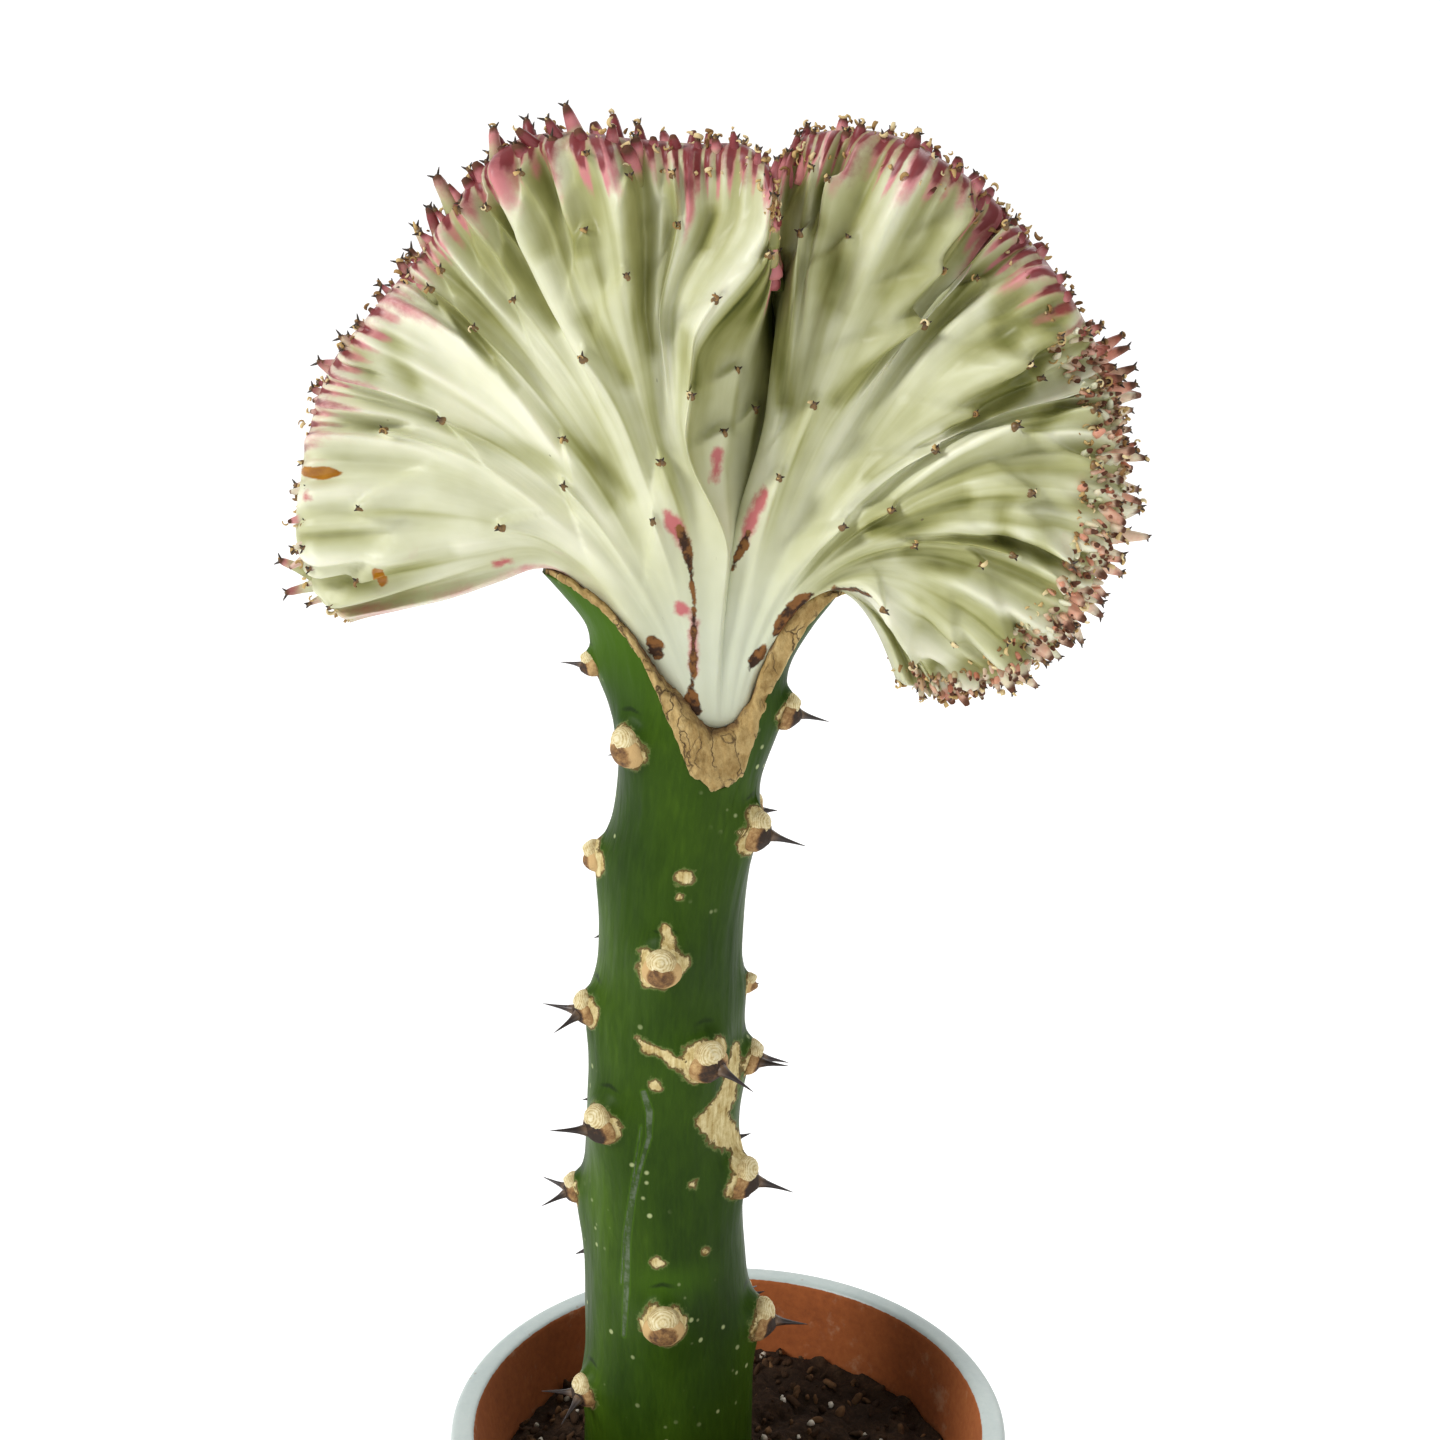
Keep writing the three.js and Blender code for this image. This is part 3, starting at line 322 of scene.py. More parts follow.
def cell_value(cells, seed):
    """A repeatable number from -1 to 1 for each cell of a grid"""
    x, y, z = (cells[..., k].astype(np.int64) for k in range(3))
    n = (x * 374761393 + y * 668265263 + z * 2147483629 + seed * 1274126177) & 0xFFFFFFFF
    n = ((n ^ (n >> 13)) * 1274126177) & 0xFFFFFFFF
    n = ((n ^ (n >> 15)) * 2246822519) & 0xFFFFFFFF
    return (n ^ (n >> 16)) / 0x7FFFFFFF - 1


def noise(x, y=0.0, z=0.0, seed=1):
    """Smooth noise from -1 to 1, with features about one unit wide"""
    place = np.stack(np.broadcast_arrays(x, y, z), axis=-1).astype(float)
    cell = np.floor(place)
    part = place - cell
    part = part * part * (3 - 2 * part)
    total = 0.0
    for corner in np.ndindex(2, 2, 2):
        step = np.array(corner)
        weight = np.prod(np.where(step, part, 1 - part), axis=-1)
        total = total + weight * cell_value(cell + step, seed)
    return total


def layered(x, y=0.0, z=0.0, layers=3, seed=1):
    """Noise with finer and finer layers on it"""
    return sum(
        noise(np.asarray(x) * 2**k, np.asarray(y) * 2**k, np.asarray(z) * 2**k, seed + k) / 2**k
        for k in range(layers)
    )


def distance_to_line(x, z, line):
    """How far points lie outside a line of x, z and half width, below 0 inside it"""
    best = np.full(np.shape(x), 99.0)
    for (ax, az, aw), (bx, bz, bw) in zip(line, line[1:]):
        dx, dz = bx - ax, bz - az
        t = np.clip(((x - ax) * dx + (z - az) * dz) / (dx * dx + dz * dz), 0, 1)
        gap = np.hypot(x - ax - t * dx, z - az - t * dz) - mix(aw, bw, t)
        best = np.minimum(best, gap)
    return best


# Meshes

def make_piece(name, points, triangles, material, node, slot, values=None):
    """A mesh object from millimetre points, with named numbers on its points"""
    mesh = bpy.data.meshes.new(name)
    points = np.asarray(points, float)
    triangles = np.asarray(triangles, np.int32)
    mesh.vertices.add(len(points))
    mesh.vertices.foreach_set("co", (points * MM).ravel())
    mesh.loops.add(triangles.size)
    mesh.loops.foreach_set("vertex_index", triangles.ravel())
    mesh.polygons.add(len(triangles))
    mesh.polygons.foreach_set("loop_start", np.arange(0, triangles.size, 3, dtype=np.int32))
    mesh.update(calc_edges=True)
    mesh.shade_smooth()
    for key, numbers in (values or {}).items():
        numbers = np.asarray(numbers, np.float32)
        wide = numbers.ndim > 1
        layer = mesh.attributes.new(key, "FLOAT_VECTOR" if wide else "FLOAT", "POINT")
        layer.data.foreach_set("vector" if wide else "value", numbers.ravel())
    mesh.materials.append(material)
    piece = bpy.data.objects.new(name, mesh)
    bpy.context.scene.collection.objects.link(piece)
    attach(piece, "root")
    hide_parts(node)
    return piece


class Heap:
    """Many small bodies gathered for one mesh, with named numbers on their points"""

    def __init__(self):
        self.points = []
        self.triangles = []
        self.values = {}
        self.count = 0

    def add(self, points, triangles, **values):
        self.points.append(points)
        self.triangles.append(np.asarray(triangles) + self.count)
        self.count += len(points)
        for key, number in values.items():
            number = np.asarray(number, float)
            if number.shape[:1] != (len(points),):
                number = np.broadcast_to(number, (len(points), *number.shape))
            self.values.setdefault(key, []).append(number)

    def piece(self, name, material, node, slot):
        values = {key: np.concatenate(rows) for key, rows in self.values.items()}
        points = np.concatenate(self.points)
        return make_piece(name, points, np.concatenate(self.triangles), material, node, slot, values)


def circle(sides):
    return np.arange(sides) / sides * 2 * math.pi


def quads(a, b, c, d):
    """Two triangles for each four corners"""
    return [np.stack([a, b, c], 1), np.stack([a, c, d], 1)]


def tube_faces(rings, sides):
    """Triangles of a closed body of stacked rings, then its two end points"""
    faces = []
    for k in range(rings - 1):
        for i in range(sides):
            j = (i + 1) % sides
            a, b, c, d = k * sides + i, k * sides + j, (k + 1) * sides + j, (k + 1) * sides + i
            faces += [[a, b, c], [a, c, d]]
    low, high = rings * sides, rings * sides + 1
    top = (rings - 1) * sides
    for i in range(sides):
        j = (i + 1) % sides
        faces += [[low, j, i], [high, top + i, top + j]]
    return np.array(faces)


TUBES = {}


def shared_faces(rings, sides):
    """The triangles of such a tube, worked out once for each kind"""
    key = (rings, sides)
    if key not in TUBES:
        TUBES[key] = tube_faces(*key)
    return TUBES[key]


def horn(root, aim, side, length, radii, sides=8, flat=1.0, bend=(0, 0, 0)):
    """A closed body swept along a bent axis. Gives points, triangles and the share along it."""
    shares = np.linspace(0, 1, len(radii))
    aim = unit(np.asarray(aim, float))
    side = np.asarray(side, float)
    side = unit(side - aim * (side @ aim))
    third = np.cross(aim, side)
    axis = np.asarray(root) + np.outer(shares * length, aim) + np.outer(shares**2, bend)
    turns = circle(sides)
    ring = np.outer(np.cos(turns), side) + flat * np.outer(np.sin(turns), third)
    rings = axis[:, None, :] + np.asarray(radii, float)[:, None, None] * ring[None]
    points = np.concatenate([rings.reshape(-1, 3), axis[:1], axis[-1:] + 0.3 * radii[-1] * aim])
    along = np.concatenate([np.repeat(shares, sides), [0, 1]])
    return points, shared_faces(len(radii), sides), along


def flake(place, across, up, size, curl, rng):
    """A little curled ribbon, the dry rest of a leaf"""
    steps = 7
    turns = rng.uniform(0, 6) + np.linspace(0, curl, steps)
    shrink = np.linspace(1.0, 0.55, steps)
    out = np.cross(across, up)
    curve = np.outer(np.cos(turns) * shrink, up) * size
    centre = place + curve + np.outer(np.sin(turns) * shrink, out) * size
    thick = 0.16 * size
    wide = 0.42 * size * np.sin(np.linspace(0.35, 2.6, steps))[:, None]
    inwards = unit(place - centre) * thick
    ring = [centre - across * wide - inwards, centre + across * wide - inwards]
    ring += [centre + across * wide + inwards, centre - across * wide + inwards]
    points = np.stack(ring, axis=1).reshape(-1, 3)
    points = np.concatenate([points, centre[:1], centre[-1:]])
    return points, shared_faces(steps, 4)


# Shaders

class Shader:
    """A material and short ways to add nodes to it"""

    def __init__(self, name):
        self.material = bpy.data.materials.new(name)
        self.material.use_nodes = True
        self.nodes = self.material.node_tree.nodes
        self.links = self.material.node_tree.links
        self.surface = self.nodes["Principled BSDF"]

    def put(self, socket, value):
        if isinstance(value, bpy.types.NodeSocket):
            self.links.new(value, socket)
        elif value is not None:
            socket.default_value = value

    def number(self, name, output="Fac"):
        node = self.nodes.new("ShaderNodeAttribute")
        node.attribute_name = name
        return node.outputs[output]

    def vector(self, name):
        return self.number(name, "Vector")

    def place(self):
        return self.nodes.new("ShaderNodeTexCoord").outputs["Object"]

    def split(self, vector):
        node = self.nodes.new("ShaderNodeSeparateXYZ")
        self.put(node.inputs[0], vector)
        return node.outputs

    def scaled(self, vector, factors):
        node = self.nodes.new("ShaderNodeVectorMath")
        node.operation = "MULTIPLY"
        self.put(node.inputs[0], vector)
        node.inputs[1].default_value = factors
        return node.outputs[0]

    def math(self, operation, a, b=None, clamp=False):
        node = self.nodes.new("ShaderNodeMath")
        node.operation = operation
        node.use_clamp = clamp
        self.put(node.inputs[0], a)
        self.put(node.inputs[1], b)
        return node.outputs[0]

    def times(self, a, b, clamp=False):
        return self.math("MULTIPLY", a, b, clamp)

    def plus(self, a, b, clamp=False):
        return self.math("ADD", a, b, clamp)

    def blend(self, first, *others):
        """A sum of values, each given with its weight"""
        total = self.times(*first)
        for value, weight in others:
            total = self.plus(total, self.times(value, weight))
        return total

    def wobble(self, value, amount):
        """A noise made even about 0"""
        return self.times(self.math("SUBTRACT", value, 0.5), amount)

    def noise(self, vector, scale, detail=3.0, roughness=0.55):
        node = self.nodes.new("ShaderNodeTexNoise")
        self.put(node.inputs["Vector"], vector)
        node.inputs["Scale"].default_value = scale
        node.inputs["Detail"].default_value = detail
        node.inputs["Roughness"].default_value = roughness
        return node.outputs["Fac"]

    def cells(self, vector, scale, feature="F1"):
        node = self.nodes.new("ShaderNodeTexVoronoi")
        node.feature = feature
        self.put(node.inputs["Vector"], vector)
        node.inputs["Scale"].default_value = scale
        return node.outputs["Distance"]

    def step(self, value, low, high, to_low=0.0, to_high=1.0):
        node = self.nodes.new("ShaderNodeMapRange")
        node.interpolation_type = "SMOOTHSTEP"
        self.put(node.inputs["Value"], value)
        numbers = {"From Min": low, "From Max": high, "To Min": to_low, "To Max": to_high}
        if low > high:
            numbers = {"From Min": high, "From Max": low, "To Min": to_high, "To Max": to_low}
        for key, number in numbers.items():
            node.inputs[key].default_value = number
        return node.outputs[0]

    def ramp(self, value, stops):
        node = self.nodes.new("ShaderNodeValToRGB")
        self.put(node.inputs[0], value)
        elements = node.color_ramp.elements
        while len(elements) < len(stops):
            elements.new(0.5)
        for element, (at, *color) in zip(elements, stops):
            element.position = at
            element.color = linear(*color)
        return node.outputs[0]

    def mix(self, a, b, factor):
        node = self.nodes.new("ShaderNodeMix")
        node.data_type = "RGBA"
        self.put(node.inputs[0], factor)
        self.put(node.inputs[6], paint(a))
        self.put(node.inputs[7], paint(b))
        return node.outputs[2]

    def bump(self, height, distance, strength=1.0, below=None):
        node = self.nodes.new("ShaderNodeBump")
        self.put(node.inputs["Height"], height)
        node.inputs["Distance"].default_value = distance * MM
        node.inputs["Strength"].default_value = strength
        if below is not None:
            self.put(node.inputs["Normal"], below)
        return node.outputs[0]

    def finish(self, color, roughness, normal=None, soft=0.0, soft_reach=1.0, specular=0.5):
        inputs = self.surface.inputs
        self.put(inputs["Base Color"], paint(color))
        self.put(inputs["Roughness"], roughness)
        self.put(inputs["Normal"], normal)
        inputs["Specular IOR Level"].default_value = specular
        if soft:
            inputs["Subsurface Weight"].default_value = soft
            inputs["Subsurface Radius"].default_value = (1.0, 0.85, 0.45)
            inputs["Subsurface Scale"].default_value = soft_reach * MM
        return self.material


def fan_material():
    s = Shader("fan_skin")
    along, out, _ = s.split(s.vector("growth"))
    green, pink, maroon = s.split(s.vector("tone"))
    red, brown, resin = s.split(s.vector("marks"))
    tip = s.number("tip")
    place = s.place()
    streak = s.noise(s.scaled(s.vector("growth"), (0.32, 0.05, 7.0)), 1.0, 3.0)
    cloud = s.noise(place, 70.0, 3.0)
    grain = s.noise(place, 900.0, 2.0)
    wild = s.noise(place, 420.0, 3.0, 0.6)
    # Cream on the ribs, grey green on the faces and olive in the furrows; the olive is partly the skin's
    # own colour and partly painted shade in the furrows
    calm = s.step(out, 42, 78)
    drawn = s.times(s.math("SUBTRACT", streak, 0.5), calm)
    swing = s.plus(s.blend((drawn, 0.34), (cloud, 0.5)), 0.17)
    depth = s.plus(green, s.math("SUBTRACT", swing, 0.42), clamp=True)
    color = s.ramp(depth, [
        (0.0, 236, 235, 210), (0.26, 214, 215, 184), (0.48, 190, 191, 148),
        (0.7, 156, 156, 100), (0.86, 112, 114, 56), (1.0, 62, 68, 26),
    ])
    base = s.step(out, 48, 14)
    color = s.mix(color, (200, 206, 186), s.times(base, 0.7))
    # Pink and maroon on the growing edge
    rough_pink = s.plus(pink, s.wobble(wild, 0.55), clamp=True)
    blush = s.times(s.step(rough_pink, 0.12, 0.75), 0.9)
    warm = s.step(along, 226, 246)
    color = s.mix(color, s.mix((206, 120, 130), (214, 132, 108), warm), blush)
    rough_red = s.plus(maroon, s.wobble(wild, 0.5), clamp=True)
    deep_red = s.mix((122, 44, 48), (150, 74, 46), warm)
    color = s.mix(color, deep_red, s.times(s.step(rough_red, 0.2, 0.8), 0.94))
    # Scars, resin and small specks
    ragged = s.wobble(wild, 2.2)
    sore = s.step(s.plus(red, ragged), 0.8, -0.4)
    color = s.mix(color, (186, 82, 92), s.times(sore, 0.9))
    scab = s.step(s.plus(brown, ragged), 0.2, -0.2)
    bark = s.mix((128, 84, 40), (52, 30, 14), s.step(wild, 0.38, 0.56))
    color = s.mix(color, bark, scab)
    drop = s.step(s.plus(resin, s.times(ragged, 0.4)), 0.25, -0.1)
    color = s.mix(color, s.mix((196, 136, 36), (120, 62, 12), wild), drop)
    dots = s.cells(s.scaled(s.vector("growth"), (0.11, 0.11, 3.0)), 1.0)
    speck = s.times(s.step(dots, 0.045, 0.025), s.step(cloud, 0.5, 0.6))
    color = s.mix(color, (96, 84, 60), s.times(speck, 0.8))
    # Dry brown ends
    dry = s.step(s.plus(tip, s.wobble(wild, 0.35)), 0.74, 0.92)
    color = s.mix(color, s.mix((120, 74, 48), (52, 30, 26), wild), dry)
    roughness = s.step(s.plus(scab, dry, clamp=True), 0.0, 1.0, 0.42, 0.8)
    roughness = s.math("SUBTRACT", roughness, s.times(drop, 0.3))
    normal = s.bump(drawn, 0.25, 0.5)
    normal = s.bump(grain, 0.05, 0.5, below=normal)
    return s.finish(color, roughness, normal, soft=0.12, soft_reach=1.6, specular=0.35)


def spine_material(name, dark, pale):
    s = Shader(name)
    grain = s.noise(s.place(), 900.0, 2.0)
    root = s.step(s.number("tip"), 0.35, 0.0)
    color = s.mix(dark, pale, s.times(root, grain))
    return s.finish(color, 0.42, s.bump(grain, 0.04, 0.4))


def flake_material():
    s = Shader("dry_leaf")
    shade = s.number("shade")
    grain = s.noise(s.place(), 700.0, 3.0)
    mixed = s.blend((shade, 0.7), (grain, 0.3))
    color = s.ramp(mixed, [
        (0.0, 84, 56, 30), (0.3, 150, 112, 62), (0.55, 206, 174, 112),
        (1.0, 240, 226, 182),
    ])
    return s.finish(color, 0.75, s.bump(grain, 0.12, 0.7))


def stem_material():
    s = Shader("stem_skin")
    place = s.place()
    scab_field, crease_shade, arm_light_and_scratch = s.split(s.vector("marks"))
    broad = s.noise(s.scaled(place, (60, 60, 22)), 1.0, 4.0)
    wild = s.noise(place, 380.0, 4.0, 0.65)
    fine = s.noise(s.scaled(s.vector("skin"), (1.4, 0.25, 1.0)), 1.0, 3.0)
    grain = s.noise(place, 1500.0, 2.0)
    tone = s.blend((broad, 0.82), (fine, 0.18))
    color = s.ramp(tone, [
        (0.3, 26, 46, 4), (0.45, 38, 62, 7), (0.58, 50, 76, 10),
        (0.78, 74, 104, 20),
    ])
    # Painted light: paler green on the upper left branch of the fork, where the light falls, and on a
    # pale patch low on the front; then a long pale scratch
    painted_arm_light = s.times(arm_light_and_scratch, s.step(arm_light_and_scratch, 1.4, 1.0, 0.0, 0.6))
    color = s.mix(color, (70, 106, 16), painted_arm_light)
    scuff = s.times(s.step(arm_light_and_scratch, 0.9, 2.4), s.step(wild, 0.4, 0.62, 0.06, 0.34))
    color = s.mix(color, (164, 168, 158), scuff)
    # Specks in the waxy skin, and painted shade in the creased skin above the knobs
    pattern = s.cells(place, 320.0)
    few = s.step(s.noise(place, 55.0, 1.0), 0.5, 0.62)
    dots = s.times(s.step(pattern, 0.2, 0.08), few)
    color = s.mix(color, (176, 186, 132), s.times(dots, 0.85))
    color = s.mix(color, (20, 34, 10), s.times(s.step(crease_shade, 0.25, 0.9), 0.75))
    # Dry tan scabs with a pale rim
    ragged = s.wobble(wild, 3.4)
    edge = s.plus(scab_field, ragged)
    color = s.mix(color, (120, 132, 74), s.times(s.step(edge, 0.7, 0.1), 0.7))
    scab = s.step(edge, 0.25, -0.05)
    thread = s.noise(s.scaled(place, (1200, 1200, 170)), 1.0, 4.0, 0.7)
    mixed = s.blend((s.noise(place, 600.0, 4.0, 0.7), 0.45), (thread, 0.55))
    cork = s.ramp(mixed, [
        (0.3, 112, 86, 46), (0.43, 182, 160, 104), (0.6, 220, 206, 156),
    ])
    color = s.mix(color, cork, scab)
    outline = s.times(s.step(edge, -0.35, -0.05), s.step(edge, 0.3, 0.12))
    color = s.mix(color, (82, 62, 26), s.times(outline, 0.85))
    roughness = s.plus(0.46, s.times(scab, 0.4))
    normal = s.bump(fine, 0.2, 0.35)
    normal = s.bump(grain, 0.05, 0.4, below=normal)
    rim = s.times(scab, s.noise(place, 900.0, 3.0))
    normal = s.bump(rim, 0.3, 0.7, below=normal)
    return s.finish(color, roughness, normal, specular=0.1)


def scar_material():
    s = Shader("leaf_scar")
    place = s.place()
    shield, out, shade = s.split(s.vector("kind"))
    grain = s.noise(place, 800.0, 4.0, 0.7)
    crumbly = s.noise(place, 1500.0, 4.0, 0.7)
    ring = s.math("SINE", s.blend((out, 60), (grain, 7)))
    mixed = s.blend((grain, 0.45), (crumbly, 0.4), (out, 0.16), (ring, 0.07))
    disc = s.ramp(mixed, [
        (0.25, 104, 80, 46), (0.42, 176, 150, 98), (0.56, 216, 200, 150),
        (0.8, 242, 234, 204),
    ])
    mottle = s.plus(s.blend((grain, 0.7), (shade, 0.3)), s.step(out, 0.75, 0.5, -0.16, 0.22))
    brown = s.ramp(mottle, [
        (0.3, 46, 30, 16), (0.46, 92, 62, 34), (0.6, 146, 108, 62),
        (0.8, 198, 164, 110),
    ])
    color = s.mix(disc, brown, s.step(shield, 0.4, 0.6))
    return s.finish(color, 0.8, s.bump(grain, 0.25, 0.8))


def cork_material():
    s = Shader("callus_cork")
    place = s.place()
    grain = s.noise(place, 260.0, 5.0, 0.65)
    fine = s.noise(s.scaled(place, (900, 900, 500)), 1.0, 4.0, 0.7)
    warped = s.nodes.new("ShaderNodeVectorMath")
    warped.operation = "MULTIPLY_ADD"
    pull = s.nodes.new("ShaderNodeTexNoise")
    pull.inputs["Scale"].default_value = 180.0
    pull.inputs["Detail"].default_value = 5.0
    s.put(pull.inputs["Vector"], place)
    s.put(warped.inputs[0], pull.outputs["Color"])
    warped.inputs[1].default_value = (0.006, 0.006, 0.006)
    s.put(warped.inputs[2], place)
    fibre = s.noise(s.scaled(warped.outputs[0], (620, 620, 130)), 1.0, 5.0, 0.7)
    crack = s.cells(s.scaled(warped.outputs[0], (300, 300, 120)), 1.0, "DISTANCE_TO_EDGE")
    groove = s.step(crack, 0.035, 0.005)
    color = s.ramp(s.blend((grain, 0.4), (fine, 0.25), (fibre, 0.35)), [
        (0.3, 110, 84, 42), (0.44, 156, 126, 72), (0.56, 188, 160, 104),
        (0.75, 220, 200, 150),
    ])
    rim = s.number("rim")
    color = s.mix(color, (214, 194, 138), s.times(s.step(rim, -0.6, -1.0), 0.6))
    torn = s.plus(rim, s.wobble(grain, 1.2))
    color = s.mix(color, (96, 64, 30), s.times(s.step(torn, 0.75, 1.0), 0.8))
    dark = s.times(groove, s.step(s.noise(place, 140.0, 2.0), 0.4, 0.55))
    color = s.mix(color, (74, 50, 22), s.times(dark, 0.8))
    height = s.math("SUBTRACT", s.plus(grain, fine), s.times(dark, 0.8))
    return s.finish(color, 0.86, s.bump(height, 0.5, 0.9))


def pot_material():
    s = Shader("pot_clay")
    place = s.place()
    across, deep, high = s.split(place)
    radius = s.math("SQRT", s.blend((across, across), (deep, deep)))
    low_radius = (POT["foot"] - POT["wall"]) * MM
    flare = (POT["lip"] - POT["lip_width"] - POT["foot"] + POT["wall"]) / (POT["height"] - POT["floor"])
    above = s.math("SUBTRACT", high, POT["floor"] * MM)
    inner = s.plus(s.times(above, flare), low_radius)
    beyond = s.times(s.math("SUBTRACT", radius, inner), 1 / MM)
    grain = s.noise(place, 700.0, 4.0, 0.6)
    cloud = s.noise(place, 30.0, 4.0)
    on_foot = s.step(high, 0.0, 0.0012)
    on_lip = s.step(high, (POT["height"] - 2.0) * MM, (POT["height"] - 0.8) * MM)
    outside = s.times(s.step(beyond, 1.0, 2.0), on_foot)
    lip = s.times(s.step(beyond, -0.2, 0.6), on_lip)
    glaze_part = s.math("MAXIMUM", outside, lip)
    clay = s.ramp(s.blend((grain, 0.35), (cloud, 0.65)), [
        (0.3, 136, 68, 26), (0.5, 164, 88, 38), (0.7, 182, 106, 52),
    ])
    bloom = s.step(s.noise(place, 90.0, 5.0, 0.7), 0.56, 0.72)
    clay = s.mix(clay, (206, 172, 140), s.times(bloom, 0.35))
    glaze = s.ramp(s.blend((cloud, 0.7), (grain, 0.3)), [
        (0.3, 172, 186, 184), (0.55, 189, 199, 195), (0.8, 204, 210, 205),
    ])
    edge = s.plus(glaze_part, s.wobble(grain, 0.3))
    coat = s.step(edge, 0.42, 0.55)
    color = s.mix(clay, glaze, coat)
    pits = s.times(s.step(s.cells(place, 260.0), 0.12, 0.04), coat)
    color = s.mix(color, (150, 120, 96), s.times(pits, 0.45))
    roughness = s.step(coat, 0.0, 1.0, 0.86, 0.38)
    normal = s.bump(grain, 0.15, 0.5)
    return s.finish(color, roughness, s.bump(cloud, 0.4, 0.2, below=normal))


def soil_material():
    s = Shader("potting_soil")
    place = s.place()
    grain = s.noise(place, 420.0, 6.0, 0.75)
    cloud = s.noise(place, 70.0, 3.0)
    color = s.ramp(s.blend((grain, 0.65), (cloud, 0.35)), [
        (0.28, 24, 16, 11), (0.5, 54, 38, 26), (0.68, 88, 64, 44),
        (0.85, 128, 98, 70),
    ])
    return s.finish(color, 0.95, s.bump(grain, 1.2, 0.9), specular=0.2)


def crumb_material():
    s = Shader("soil_crumb")
    place = s.place()
    shade = s.number("shade")
    grain = s.noise(place, 600.0, 4.0, 0.7)
    color = s.ramp(s.blend((shade, 0.7), (grain, 0.3)), [
        (0.1, 30, 20, 14), (0.45, 74, 52, 34), (0.62, 120, 88, 58),
        (0.78, 196, 186, 168), (0.95, 232, 229, 218),
    ])
    return s.finish(color, 0.92, s.bump(grain, 0.4, 0.8), specular=0.2)


def paper_material():
    s = Shader("backdrop")
    s.surface.inputs["Emission Color"].default_value = (1, 1, 1, 1)
    s.surface.inputs["Emission Strength"].default_value = 0.42
    return s.finish((244, 244, 244), 0.9, specular=0.1)


# Fan: the same sheet as the solid's, with finer ribs, furrows, ridges and scars

def catmull_rom(points, t):
    """The centripetal curve through points, at t from 0 to 1"""
    points = np.array(points, float)
    ends = [2 * points[0] - points[1], 2 * points[-1] - points[-2]]
    padded = np.vstack([ends[0], points, ends[1]])
    spans = len(points) - 1
    i = np.minimum((t * spans).astype(int), spans - 1)
    w = (t * spans - i)[..., None]
    p0, p1, p2, p3 = (padded[i + k] for k in range(4))
    d0, d1, d2 = (np.linalg.norm(b - a, axis=-1, keepdims=True) ** 0.5
                  for a, b in ((p0, p1), (p1, p2), (p2, p3)))
    s1 = ((p1 - p0) / d0 - (p2 - p0) / (d0 + d1) + (p2 - p1) / d1) * d1
    s2 = ((p2 - p1) / d1 - (p3 - p1) / (d1 + d2) + (p3 - p2) / d2) * d1
    cubic = 2 * p1 - 2 * p2 + s1 + s2
    square = -3 * p1 + 3 * p2 - 2 * s1 - s2
    return ((cubic * w + square) * w + s1) * w + p1


MARGIN_STEPS = np.linspace(0, 1, 1401)
MARGIN_LINE = catmull_rom(MARGIN, MARGIN_STEPS)
MARGIN_LENGTHS = np.concatenate(
    [[0], np.cumsum(np.linalg.norm(np.diff(MARGIN_LINE, axis=0), axis=1))]
)


def margin_at(u):
    """The growing edge at a share of its length"""
    t = np.interp(np.asarray(u) * MARGIN_LENGTHS[-1], MARGIN_LENGTHS, MARGIN_STEPS)
    return catmull_rom(MARGIN, t)


fold_shift_at = station_curve(FOLD_SHIFT)
edge_sag_at = station_curve(EDGE_SAG)


def openness(u):
    """1 on the open face of the fan, down to 0 in its deep fold"""
    return smooth(0.045, 0.13, np.abs(u - FOLD))


def fan_middle(u, v):
    """The sheet's middle. u runs along the growing edge, v from the root to the edge."""
    u, v = np.broadcast_arrays(np.asarray(u, float), np.asarray(v, float))
    tip = margin_at(u)
    dx, dz = tip[..., 0] - FOCUS[0], tip[..., 2] - FOCUS[1]
    reach = np.hypot(dx, dz)
    lean = np.minimum(np.arctan2(dx, dz), 1.45)
    side = 2 * u - 1
    zero = np.zeros_like(u)

    def aim(turn, distance, depth):
        x = FOCUS[0] + distance * np.sin(turn)
        return np.stack([x, depth + zero, FOCUS[1] + distance * np.cos(turn)], axis=-1)

    def bend(spread):
        return 0.78 * np.tanh(lean / spread) + 0.22 * side**3

    x = FOCUS[0] + FAN_ROOT["wide"] * side
    deep = FAN_ROOT["deep"] * side
    root = np.stack([x, deep, FOCUS[1] - FAN_ROOT["dip"] * (1 - side * side)], axis=-1)
    near = aim(-0.09 + 0.63 * bend(0.85), 20, deep)
    far = aim(0.57 * bend(0.55), 30 + 0.27 * reach, 0.45 * tip[..., 1])
    w = v[..., None]
    point = (1 - w) ** 3 * root + 3 * (1 - w) ** 2 * w * near + 3 * (1 - w) * w * w * far + w**3 * tip
    wave = np.sin(2 * math.pi * WAVE["count"] * u + WAVE["start"])
    point[..., 1] += WAVE["height"] * v * v * wave * openness(u)
    shift = fold_shift_at(u) * ((u > FOLD_SHIFT[0][0]) & (u < FOLD_SHIFT[-1][0]))[..., None]
    point[..., 0] += shift[..., 0] * smooth(0.38, 0.62, v) * smooth(0.92, 0.74, v)
    point[..., 1] += shift[..., 1] * smooth(0.42, 0.66, v) * smooth(1.0, 0.8, v)
    # The lower left edge hangs a little, down to the stem's left arm
    sag = smooth(0.11, 0.0, u) * edge_sag_at(v)[..., 0]
    point[..., 2] -= sag
    point[..., 0] -= 0.5 * sag * smooth(0.6, 0.2, v)
    return point


def fan_outward(u, v):
    return unit(fan_middle(u, np.minimum(v + 0.02, 1)) - fan_middle(u, np.asarray(v) - 0.02))


